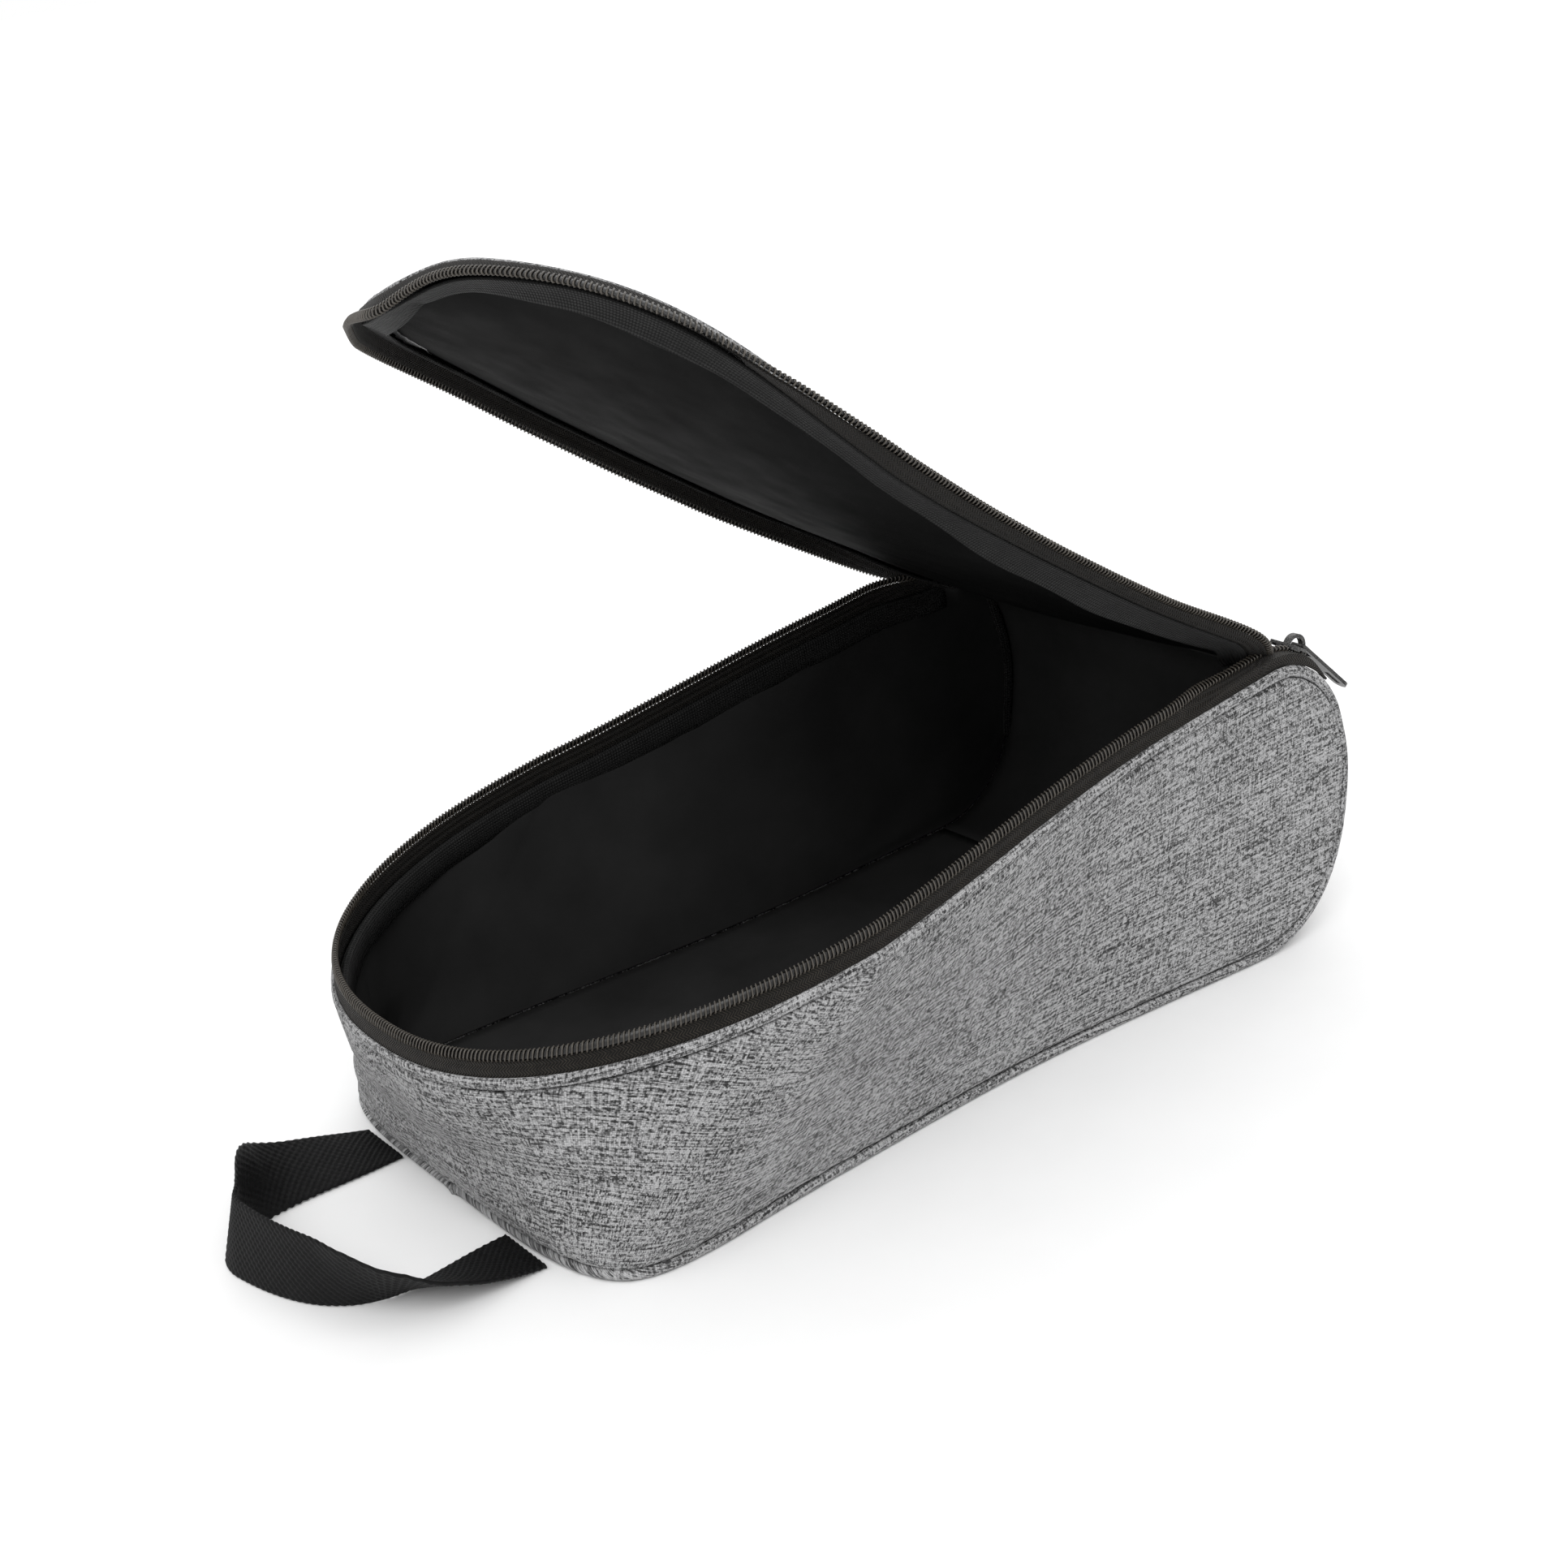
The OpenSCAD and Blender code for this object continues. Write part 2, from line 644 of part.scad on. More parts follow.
module slider_body() {
    front_x = -slider_len / 2;
    slot = tape_t / 2 + slider_gap;
    bend_room = channel_low - channel_high;
    color(gunmetal) parked() {
        translate([0, 0, channel_high]) linear_extrude(plate_t) slider_plan(pin_x - 0.2);
        translate([0, 0, -channel_low - plate_t]) linear_extrude(plate_t)
            slider_plan(slider_len / 2 - 1);
        for (side = [-1, 1]) translate([front_x, side * (slider_half_w - flange_t / 2) - flange_t / 2, 0]) {
            translate([0, 0, slot]) cube([flange_len, flange_t, channel_high - slot]);
            translate([0, 0, -channel_low])
                cube([flange_len, flange_t, channel_low - slot - bend_room]);
        }
        translate([front_x, run_gap / 2, -channel_low])
            cube([post_len, post_w, channel_low + channel_high]);
    }
}

// Arch on the upper plate that holds the puller
module slider_crown() {
    color(gunmetal) parked() translate([crown_x, 0, plate_top]) intersection() {
        rotate([90, 0, 0]) linear_extrude(crown_w, center = true) difference() {
            circle(crown_r);
            circle(crown_r - crown_t);
        }
        translate([-crown_r - 1, -crown_w, 0]) cube([2 * crown_r + 2, 2 * crown_w, crown_r + 1]);
    }
}

// Flat pull with an eye at the crown and a slot at its end
module puller() {
    inner = crown_w / 2 + run_gap;
    tip = puller_len - puller_w / 2;
    color(gunmetal) parked() translate([pin_x, 0, plate_top + pin_z]) rotate([0, puller_drop, 0]) {
        rotate([90, 0, 0]) cylinder(d = puller_t, h = puller_w, center = true);
        translate([0, 0, -puller_t / 2]) linear_extrude(puller_t) difference() {
            union() {
                translate([0, -puller_w / 2]) square([tip, puller_w]);
                translate([tip, 0]) circle(d = puller_w);
            }
            translate([0, -inner]) square([eye_len, 2 * inner]);
            translate([tip - slot_len, -slot_w / 2]) square([slot_len, slot_w]);
        }
    }
}

// ---- Handle ------------------------------------------------------------------------------

// Lower edge of the webbing as [distance out from the toe, y, tilt of the width in degrees]
handle_route = [[0.6, -36, 0], [8, -36, 4], [18, -37, 14], [28, -38, 26], [37, -39, 42],
    [46, -37, 62], [54, -31, 82], [61, -21, 94], [65, -8, 100], [67, 5, 103], [67, 16, 104],
    [65, 25, 104], [60, 31, 98], [52, 34, 76], [42, 34, 44], [32, 33, 27], [21, 32, 19],
    [10, 32, 11], [0.6, 32, 0]];

module handle_webbing() {
    last = len(handle_route) - 1;
    path = [for (r = handle_route) [toe_x - r[0], r[1], 0.05 + web_t / 2 * cos(r[2])]];
    color(black_cloth) sweep([for (i = [0:last]) let (
        a = path[max(i - 1, 0)],
        b = path[min(i + 1, last)],
        run = i == 0 ? [-1, 0, 0] : i == last ? [1, 0, 0] : unit([b[0] - a[0], b[1] - a[1], 0]),
        out = [-run[1], run[0], 0],
        tilt = handle_route[i][2],
        w = out * cos(tilt) + [0, 0, sin(tilt)],
        n = cross(run, w) * web_t / 2,
        p = path[i])
        [p - n, p + w * web_w - n, p + w * web_w + n, p + n]]);
}

bottom_shell();
heel_shell();
wall_shell();
rim_band();
bottom_board();
wall_foam();
heel_foam();
bottom_lining();
wall_lining();
heel_lining();
rim_binding();
heel_binding(-1);  // heel_binding_near
heel_binding(1);  // heel_binding_far
zipper_tape_lower();
zipper_coil_lower();
zipper_tack(-1);  // zipper_tack_near
zipper_tack(1);  // zipper_tack_far
hinge_fold();
lid_shell();
lid_foam();
lid_lining();
lid_band();
lid_binding();
zipper_tape_upper();
zipper_coil_upper();
slider_body();
slider_crown();
puller();
handle_webbing();
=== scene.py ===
"""Looks of a golf shoe bag: heather cloth, black lining, coil zippers, webbing handle.
Lengths in this script are in millimetres and become metres where a mesh is made."""
import math

import bpy
import numpy as np
from mathutils import Matrix, Vector


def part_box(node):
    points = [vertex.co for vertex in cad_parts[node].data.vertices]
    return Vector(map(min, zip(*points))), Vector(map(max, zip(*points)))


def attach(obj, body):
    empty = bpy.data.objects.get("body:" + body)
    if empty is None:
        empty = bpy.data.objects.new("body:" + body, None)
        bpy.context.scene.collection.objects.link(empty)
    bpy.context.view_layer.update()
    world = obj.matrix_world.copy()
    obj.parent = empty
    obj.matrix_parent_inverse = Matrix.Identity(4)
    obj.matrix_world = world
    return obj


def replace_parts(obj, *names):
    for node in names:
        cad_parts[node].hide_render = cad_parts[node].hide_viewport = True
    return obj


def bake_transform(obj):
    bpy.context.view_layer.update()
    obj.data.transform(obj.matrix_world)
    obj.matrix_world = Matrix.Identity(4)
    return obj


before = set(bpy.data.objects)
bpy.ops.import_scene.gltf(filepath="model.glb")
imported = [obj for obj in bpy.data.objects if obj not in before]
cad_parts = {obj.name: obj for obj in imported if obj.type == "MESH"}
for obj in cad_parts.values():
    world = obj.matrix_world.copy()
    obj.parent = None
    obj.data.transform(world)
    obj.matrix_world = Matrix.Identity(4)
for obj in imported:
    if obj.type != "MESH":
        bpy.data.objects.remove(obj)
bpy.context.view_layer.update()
MM = 0.001


def box_mm(node):
    low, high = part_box(node)
    return np.array(low) / MM, np.array(high) / MM


# ---- Measures

HEEL_X = box_mm("heel_shell")[1][0]
TOE_X = box_mm("bottom_shell")[0][0]
RIM_TIP_X = box_mm("rim_band")[0][0]
RIM_HEEL_H = box_mm("rim_band")[1][2]
HEEL_W = 2 * box_mm("heel_shell")[1][1]
RIM_W = 2 * box_mm("wall_shell")[1][1]

# Measures of the part that no box of it gives
WAIST_W = 166.0
SLOPE = math.radians(7)
LOWER_R, UPPER_R = 42.0, 24.0
RIM_TOE_H = 60.0
WAIST_X = HEEL_X - 136.4
BEND_X = HEEL_X - 140
FLARE_X = HEEL_X - 80
BOTTOM_ROUND, BOTTOM_POWER = 37.0, 4.1
RIM_ROUND, RIM_POWER = 120.0, 2.35
BOTTOM_ROUND_X = TOE_X + BOTTOM_ROUND
RIM_ROUND_X = RIM_TIP_X + RIM_ROUND
BOTTOM_TOE = (BOTTOM_ROUND_X, BOTTOM_ROUND, HEEL_W / 2, BOTTOM_POWER)
RIM_TOE = (RIM_ROUND_X, RIM_ROUND, RIM_W / 2, RIM_POWER)
UPPER_X = HEEL_X - UPPER_R
LOWER_X = HEEL_X - LOWER_R
UPPER_Z = RIM_HEEL_H - UPPER_R / math.cos(SLOPE)
TANGENT_X = UPPER_X - UPPER_R * math.sin(SLOPE)
SEAM_D = 4.05
SHELL_T, FOAM_T, LINING_T = 1.2, 2.0, 0.5
TAPE_W, TAPE_T, COIL_W, COIL_T, COIL_D = 4.4, 0.7, 3.8, 2.2, 1.7
LEAN = 25.0
LID_UNDER = 15.73
PITCH = 1.5
PANEL_T, LID_T = 2.2, 1.6
TAPE_STEPS = [0.0, 0.6, 1.2, 1.8, 2.4, 3.0, 3.6, 4.2]
FOLD_X, FOLD_Z, FOLD_SKEW, LID_OPEN = 112.0, 119.397, math.radians(6), math.radians(41)

# Steps along a heel corner, along the straight side and along half the toe
ARC, SIDE, TOE = 12, 52, 40


def ease(t):
    t = np.clip(t, 0, 1)
    return t * t * (3 - 2 * t)


def mix(a, b, t):
    return a + (b - a) * t


def unit(v):
    v = np.asarray(v, float)
    return v / np.maximum(np.linalg.norm(v, axis=-1, keepdims=True), 1e-9)


# ---- Outlines

def bottom_half(x):
    """Half the bottom's width."""
    x = np.asarray(x, float)
    toe = mix(WAIST_W, HEEL_W, ease((WAIST_X - x) / (WAIST_X - BOTTOM_ROUND_X)))
    heel = mix(WAIST_W, HEEL_W, ease((x - WAIST_X) / (HEEL_X - WAIST_X)))
    return np.where(x < WAIST_X, toe, heel) / 2


def rim_half(x):
    """Half the rim's width."""
    t = np.clip((FLARE_X - np.asarray(x, float)) / (FLARE_X - RIM_ROUND_X), 0, 1)
    return mix(HEEL_W, RIM_W, t**1.2) / 2


RISE = math.tan(SLOPE)
BEND_Z = RIM_HEEL_H - RISE * (UPPER_X - BEND_X)
DROP = (BEND_Z - RISE * (BEND_X - RIM_TIP_X) - RIM_TOE_H) / (BEND_X - RIM_TIP_X) ** 2


def rim_z(x):
    x = np.asarray(x, float)
    return RIM_HEEL_H - RISE * (UPPER_X - x) - np.where(x < BEND_X, DROP * (BEND_X - x) ** 2, 0)


def toe_xy(round_x, length, half, power, a):
    """Quarter of the toe's rounding at angles a, from 0 at its side to 90 at its tip."""
    a = np.radians(a)
    s, c = np.sin(a), np.maximum(np.cos(a), 0)
    return round_x - length * s ** (2 / power), half * c ** (2 / power)


# Angles of the toe's points, closer together at both ends
TOE_A = 90 * ease(np.arange(1, TOE + 1) / TOE)


def columns(*parts):
    """Points [x, y, z] from parts that are given as x, y and z."""
    return np.concatenate([np.stack(np.broadcast_arrays(*p), 1) for p in parts])


def bottom_rail(inset):
    """Half of the wall's lower seam line, from the heel to the toe's tip."""
    a = np.radians(90 - 90 * np.arange(ARC + 1) / ARC)
    r = LOWER_R - inset
    x0 = LOWER_X + r * np.sin(a)
    x1 = mix(LOWER_X, BOTTOM_ROUND_X, np.arange(1, SIDE + 1) / SIDE)
    x2, y2 = toe_xy(*BOTTOM_TOE, TOE_A)
    return columns(
        (x0, bottom_half(x0), LOWER_R - r * np.cos(a)), (x1, bottom_half(x1), inset), (x2, y2, inset))


def rim_rail(inset):
    """Half of the wall's upper seam line, from the heel to the toe's tip."""
    a = np.radians((90 + math.degrees(SLOPE)) * np.arange(ARC + 1) / ARC)
    r = UPPER_R - inset
    x0 = UPPER_X + r * np.cos(a)
    x1 = mix(UPPER_X - r * math.sin(SLOPE), RIM_ROUND_X, np.arange(1, SIDE + 1) / SIDE)
    x2, y2 = toe_xy(*RIM_TOE, TOE_A)
    return columns(
        (x0, rim_half(x0), UPPER_Z + r * np.sin(a)), (x1, rim_half(x1), rim_z(x1) - inset),
        (x2, y2, rim_z(x2) - inset))


def whole(half_rail):
    """The near side and the far side in one line, from heel to heel."""
    return np.concatenate([half_rail * [1, -1, 1], half_rail[-2::-1]])


def plan_inward(rail):
    """Inward direction in plan at each point of a rail."""
    ahead, behind = np.concatenate([rail[1:], rail[-1:]]), np.concatenate([rail[:1], rail[:-1]])
    t = unit((ahead - behind)[:, :2])
    return columns((t[:, 1], -t[:, 0], 0))


def lengths(line):
    """Arc length at each point of a line."""
    return np.concatenate([[0], np.cumsum(np.linalg.norm(np.diff(line, axis=0), axis=1))])


def between(want, at, rows):
    """Rows of points that are known at the places `at`, at the places `want`."""
    return np.stack([np.interp(want, at, rows[:, k]) for k in range(rows.shape[1])], 1)


def resample(line, step):
    """The line at even steps, with the arc length of each point; columns past xyz ride along."""
    at = lengths(line[:, :3])
    want = np.linspace(0, at[-1], max(2, int(round(at[-1] / step)) + 1))
    return between(want, at, line), want


def row_lengths(grid):
    return np.array([lengths(row) for row in grid])


def from_ends(at):
    """Distance to the nearer end."""
    return np.minimum(at, at[-1] - at)


def cloth_map(u, v):
    """Cloth coordinates in metres from places in mm along and across the cloth."""
    return np.stack(np.broadcast_arrays(u, v), -1) * MM


def smooth_rows(a, times):
    """Rows averaged with their neighbours; the first and last stay."""
    a = a.copy()
    for _ in range(times):
        a[1:-1] = (a[:-2] + 2 * a[1:-1] + a[2:]) / 4
    return a


# ---- Slack of the whole bag

def bell(v, centre, reach):
    return np.exp(-(((v - centre) / reach) ** 2))


def slack(p):
    """Moves points of the bag's cloth to where soft cloth settles: the heel panel stands proud of
    its seams, the near rim dips in the middle, the toe's rim leans outwards over a crease, the
    far rim is drawn up by the lid, and the near toe corner spreads a little on the floor."""
    p = np.array(p, float)
    x, y, z = p[..., 0].copy(), p[..., 1].copy(), p[..., 2].copy()
    p[..., 0] += 5.5 * bell(z, 62, 24) * ease((x - 112) / 42)
    high = ease((z - 25) / 40)
    p[..., 2] -= 4.5 * bell(x, -33, 60) * ease((-y - 40) / 40) * high
    p[..., 2] += 4.5 * ease((x + 40) / 110) * (1 - ease((x - 92) / 34)) * ease((y - 40) / 40) * high
    toe = ease((-95 - x) / 60)
    p[..., 0] -= 3.0 * toe * high
    p[..., 1] += np.sign(y) * 2.0 * bell(x, -110, 38) * high * ease(np.abs(y) / 60)
    inward = 2.6 * bell(z, 30, 6.5) * toe
    p[..., 0] += inward * 0.9
    low = 1 - ease(z / 45)
    p[..., 1] -= 2.4 * bell(x, -120, 26) * low * ease((-y - 50) / 35)
    return p


def ripple(p, seed, size, waves=7):
    """Smooth pseudo-random field between about -1 and 1 with features of that size."""
    rng = np.random.default_rng(seed)
    out = np.zeros(p.shape[:-1])
    for _ in range(waves):
        k = unit(rng.normal(size=3)) * 2 * math.pi / (size * rng.uniform(0.7, 1.6))
        out += np.sin(p @ k + rng.uniform(0, 2 * math.pi))
    return out / math.sqrt(waves) / 1.2


# ---- Meshes

def new_mesh(name, verts, faces, uvs):
    """Smooth mesh of points in mm, with a place on the cloth for each vertex in metres."""
    me = bpy.data.meshes.new(name)
    me.from_pydata((np.asarray(verts, float) * MM).tolist(), [], [tuple(int(k) for k in f) for f in faces])
    loops = np.zeros(len(me.loops), np.int32)
    me.loops.foreach_get("vertex_index", loops)
    me.uv_layers.new(name="cloth").data.foreach_set("uv", np.asarray(uvs, np.float32)[loops].ravel())
    me.polygons.foreach_set("use_smooth", [True] * len(me.polygons))
    me.update()
    me.validate()
    ob = bpy.data.objects.new(name, me)
    bpy.context.scene.collection.objects.link(ob)
    return ob


def grid_faces(n, m, base=0, close=False):
    i, j = np.meshgrid(np.arange(n - 1), np.arange(m if close else m - 1), indexing="ij")
    j2 = (j + 1) % m
    a, b = base + i * m + j, base + i * m + j2
    return np.stack([a, b, b + m, a + m], -1).reshape(-1, 4)


def sheet_mesh(name, grid, uv, flip=False):
    """Open grid of points (n, m, 3) with uv (n, m, 2)."""
    faces = grid_faces(*grid.shape[:2])
    return new_mesh(name, grid.reshape(-1, 3), faces[:, ::-1] if flip else faces, uv.reshape(-1, 2))


def declare_sheet(grid):
    """Works out the flat cut that a sheet's grid was drawn from and the normals of its faces, and keeps none
    of them.
    """
    sides = row_lengths(grid.transpose(1, 0, 2)).max() * MM, row_lengths(grid).max() * MM
    a = np.cross(grid[1:, :-1] - grid[:-1, :-1], grid[:-1, 1:] - grid[:-1, :-1])
    b = np.cross(grid[:-1, 1:] - grid[1:, 1:], grid[1:, :-1] - grid[1:, 1:])


def thick(ob, t, offset=-1.0):
    """Gives a sheet its thickness."""
    mod = ob.modifiers.new("thick", "SOLIDIFY")
    mod.thickness = t * MM
    mod.offset = offset
    mod.use_even_offset = False
    dg = bpy.context.evaluated_depsgraph_get()
    old, ob.data = ob.data, bpy.data.meshes.new_from_object(ob.evaluated_get(dg), depsgraph=dg)
    ob.modifiers.clear()
    bpy.data.meshes.remove(old)


def points_of(me):
    """A mesh's points as an array (n, 3), in metres."""
    co = np.zeros(len(me.vertices) * 3)
    me.vertices.foreach_get("co", co)
    return co.reshape(-1, 3)


def grid_normals(grid):
    """Unit normals of a grid of points."""
    return unit(np.cross(np.gradient(grid, axis=1), np.gradient(grid, axis=0)))


def tube(line, radius, sides, flat):
    """Rings of a round tube along a line of points; flat is a direction across it."""
    t = unit(np.gradient(line, axis=0))
    a = unit(np.cross(t, flat))
    b = np.cross(a, t)
    ang = 2 * math.pi * np.arange(sides) / sides
    rings = line[:, None] + radius * (
        np.cos(ang)[None, :, None] * a[:, None] + np.sin(ang)[None, :, None] * b[:, None])
    return rings, cloth_map(lengths(line)[:, None], (ang[None] + 0.5) * radius)


def swept_mesh(name, parts, flip=False):
    """One mesh of closed tubes, each (rings, uv) with rings (n, m, 3) and flat ends."""
    verts, uvs, faces, base = [], [], [], 0
    for rings, uv in parts:
        n, m = rings.shape[:2]
        f = [tuple(q) for q in grid_faces(n, m, base, close=True)]
        f += [tuple(range(base, base + m))[::-1], tuple(range(base + (n - 1) * m, base + n * m))]
        faces += [q[::-1] for q in f] if flip else f
        verts.append(rings.reshape(-1, 3))
        uvs.append(uv.reshape(-1, 2))
        base += n * m
    return new_mesh(name, np.concatenate(verts), faces, np.concatenate(uvs))


# ---- Cloth simulation

def along(normals, most=np.inf):
    """A limit for simulate: moves keep to the cloth's normals and go no further out than most."""
    n = normals.reshape(-1, 3)
    return lambda delta: n * np.minimum((delta * n).sum(1, keepdims=True), most)


def simulate(ob, pins, grow, cap, pressure=0.0, gravity=0.3, bend=0.5, frames=20, keep=None):
    """Lets a pinned panel settle as cloth; grow is the slack of each point, cap the most it may
    move in mm, keep an optional function that limits the moves."""
    sc = bpy.context.scene
    rest = points_of(ob.data)
    for group, weights in (("pin", pins), ("slack", grow)):
        group = ob.vertex_groups.new(name=group)
        for k, weight in enumerate(weights):
            group.add([k], float(weight), "REPLACE")
    mod = ob.modifiers.new("cloth", "CLOTH")
    s = mod.settings
    s.quality = 6
    s.mass = 0.15
    s.tension_stiffness = s.compression_stiffness = 20
    s.shear_stiffness = 8
    s.bending_stiffness = bend
    s.air_damping = 2
    s.vertex_group_mass = "pin"
    s.pin_stiffness = 1
    s.use_pressure = pressure > 0
    s.uniform_pressure_force = pressure
    s.effector_weights.gravity = gravity
    s.vertex_group_shrink = "slack"
    s.shrink_min = 0.0
    s.shrink_max = -0.05
    mod.collision_settings.use_collision = False
    mod.collision_settings.use_self_collision = False
    for times in (sc, mod.point_cache):
        times.frame_start, times.frame_end = 1, frames
    for f in range(1, frames + 1):
        sc.frame_set(f)
    moved = points_of(ob.evaluated_get(bpy.context.evaluated_depsgraph_get()).data)
    delta = (moved - rest) / MM
    ob.modifiers.clear()
    ob.vertex_groups.clear()
    sc.frame_set(1)
    if keep is not None:
        delta = keep(delta)
    size = np.linalg.norm(delta, axis=1, keepdims=True)
    delta *= np.tanh(size / cap) * cap / np.maximum(size, 1e-9)
    ob.data.vertices.foreach_set("co", (rest + delta * MM).ravel())
    ob.data.update()


# ---- Materials

class Value:
    """A node's output that can stand in a sum."""

    def __init__(self, nodes, socket):
        self.nodes, self.socket = nodes, socket

    def __add__(self, other):
        return self.nodes.math("ADD", self, other)

    def __sub__(self, other):
        return self.nodes.math("SUBTRACT", self, other)

    def __rsub__(self, other):
        return self.nodes.math("SUBTRACT", other, self)

    def __mul__(self, other):
        return self.nodes.math("MULTIPLY", self, other)

    def __truediv__(self, other):
        return self.nodes.math("DIVIDE", self, other)


class Nodes:
    """Short names for building a material's nodes."""

    def __init__(self, name):
        self.mat = bpy.data.materials.new(name)
        self.mat.use_nodes = True
        self.nt = self.mat.node_tree
        self.nt.nodes.clear()
        out = self.nt.nodes.new("ShaderNodeOutputMaterial")
        self.shader = self.nt.nodes.new("ShaderNodeBsdfPrincipled")
        self.nt.links.new(self.shader.outputs[0], out.inputs[0])

    def put(self, socket, value):
        if isinstance(value, Value):
            self.nt.links.new(value.socket, socket)
        elif isinstance(value, tuple) and socket.type == "RGBA":
            socket.default_value = value + (1,)
        else:
            socket.default_value = value

    def node(self, kind, output=0, row=(), **values):
        """A new node's output; values go in by name, row by place."""
        n = self.nt.nodes.new("ShaderNode" + kind)
        for key, value in values.items():
            if key in n.inputs:
                self.put(n.inputs[key], value)
            else:
                setattr(n, key, value)
        for socket, value in zip(n.inputs, row):
            self.put(socket, value)
        return Value(self, n.outputs[output])

    def math(self, op, a, b=0.0, clamp=False):
        return self.node("Math", 0, (a, b, 0.0), operation=op, use_clamp=clamp)

    def sine(self, a):
        return self.math("SINE", a)

    def xyz(self, x, y, z):
        return self.node("CombineXYZ", X=x, Y=y, Z=z)

    def noise(self, vector, scale, detail=2.0, rough=0.5):
        return self.node("TexNoise", "Fac", Vector=vector, Scale=scale, Detail=detail, Roughness=rough)

    def range(self, value, a, b, c=0.0, d=1.0):
        return self.node("MapRange", 0, (value, a, b, c, d))

    def blend(self, fac, a, b):
        n = self.nt.nodes.new("ShaderNodeMix")
        n.data_type = "RGBA"
        for place, value in ((0, fac), (6, a), (7, b)):
            self.put(n.inputs[place], value)
        return Value(self, n.outputs[2])

    def bump(self, height, distance, strength, **under):
        return self.node("Bump", Height=height, Distance=distance, Strength=strength, **under)

    def cloth_uv(self):
        """Places along and across the cloth, in mm."""
        split = self.node("SeparateXYZ", Vector=self.node("UVMap", uv_map="cloth")).socket.node
        return tuple(Value(self, split.outputs[k]) * 1000.0 for k in (0, 1))

    def place(self):
        return self.node("TexCoord", "Object")

    def set(self, **values):
        names = {"color": "Base Color", "rough": "Roughness", "metal": "Metallic", "normal": "Normal",
            "sheen": "Sheen Weight", "sheen_rough": "Sheen Roughness", "ior": "IOR",
            "specular": "Specular IOR Level"}
        for key, value in values.items():
            self.put(self.shader.inputs[names[key]], value)
        return self.mat


def grey(shade):
    return (shade,) * 3


def heather_material(name, dark=0.018, light=0.445, pitch=0.6):
    """Plain weave of two melange yarns: each thread changes shade along its length, and thicker
    slubs run on as streaks, mostly along the bag."""
    n = Nodes(name)
    u, v = n.cloth_uv()
    fu, fv = u / pitch, v / pitch
    iu, iv = n.math("FLOOR", fu), n.math("FLOOR", fv)

    def yarn(index, along, seed, stretch):
        thread = index * 7.387
        return n.range(n.noise(n.xyz(thread, along / stretch, seed), 1.0, 2.0, 0.7), 0.33, 0.67)

    def streak(along, across, length, width, seed):
        return n.range(n.noise(n.xyz(along / length, across / width, seed), 1.0, 3.0, 0.6), 0.3, 0.7)

    warp, weft = yarn(iu, v, 3.0, 2.2), yarn(iv, u, 41.0, 3.0)
    parity = n.math("PINGPONG", iu + iv, 1.0)
    over = warp * (1.0 - parity) + weft * parity
    long_slub, cross_slub = streak(u, v, 22.0, 0.7, 5.0), streak(v, u, 9.0, 0.75, 23.0)
    fleck = streak(u, v, 1.5, 1.1, 61.0)
    tone = over * 0.26 + long_slub * 0.27 + cross_slub * 0.17 + fleck * 0.3
    tone = n.range(tone, 0.37, 0.62)
    wide = n.noise(n.place(), 38.0)
    tone = n.math("ADD", tone, n.range(wide, 0.3, 0.7, -0.06, 0.06), clamp=True)
    hill_u, hill_v = (n.math("ABSOLUTE", n.sine(f * math.pi)) for f in (fu, fv))
    weave = hill_u * (1.0 - parity) + hill_v * parity
    tone = n.math("MULTIPLY", tone, n.range(weave, 0.0, 0.8, 0.62, 1.06), clamp=True)
    colour = n.blend(tone, (dark, dark, dark * 1.02), (light, light, light * 1.01))
    fuzz = n.noise(n.place(), 1400.0)
    normal = n.bump(weave + (fuzz * 0.6 + long_slub), 0.00018, 0.8)
    rough = n.range(tone, 0.0, 1.0, 0.88, 0.76)
    return n.set(color=colour, rough=rough, normal=normal, sheen=0.12, sheen_rough=0.55, specular=0.25)


def lining_material(name, shade, thread=0.34):
    """Smooth black polyester with a soft sheen."""
    n = Nodes(name)
    u, v = n.cloth_uv()
    p = n.place()
    turns = 2 * math.pi / thread
    weave = n.sine(u * turns) * n.sine(v * turns)
    soft = n.noise(p, 22.0, 3.0)
    colour = n.blend(n.range(soft, 0.3, 0.7), grey(shade * 0.75), grey(shade * 1.25))
    rough = n.range(n.noise(p, 60.0), 0.3, 0.7, 0.5, 0.62)
    normal = n.bump(soft, 0.0012, 0.25, Normal=n.bump(weave, 0.00003, 0.35))
    return n.set(color=colour, rough=rough, normal=normal, sheen=0.0, specular=0.25, ior=1.06)


def binding_material(name, tint=0.026, pitch=1.5):
    """Open knitted seam binding: a diagonal mesh of small bumps."""
    n = Nodes(name)
    u, v = n.cloth_uv()
    turns = 2 * math.pi / pitch * 0.7
    cell = n.sine((u + v) * turns) * n.sine((u - v) * turns)
    dots = n.range(cell, 0.0, 0.7)
    blotch = n.noise(n.place(), 150.0)
    colour = n.blend(dots * n.range(blotch, 0.35, 0.65, 0.35, 1.0), grey(0.004), (tint, tint, tint * 0.98))
    normal = n.bump(cell, 0.0003, 0.9)
    return n.set(color=colour, rough=0.7, normal=normal, sheen=0.04, sheen_rough=0.5, specular=0.22)


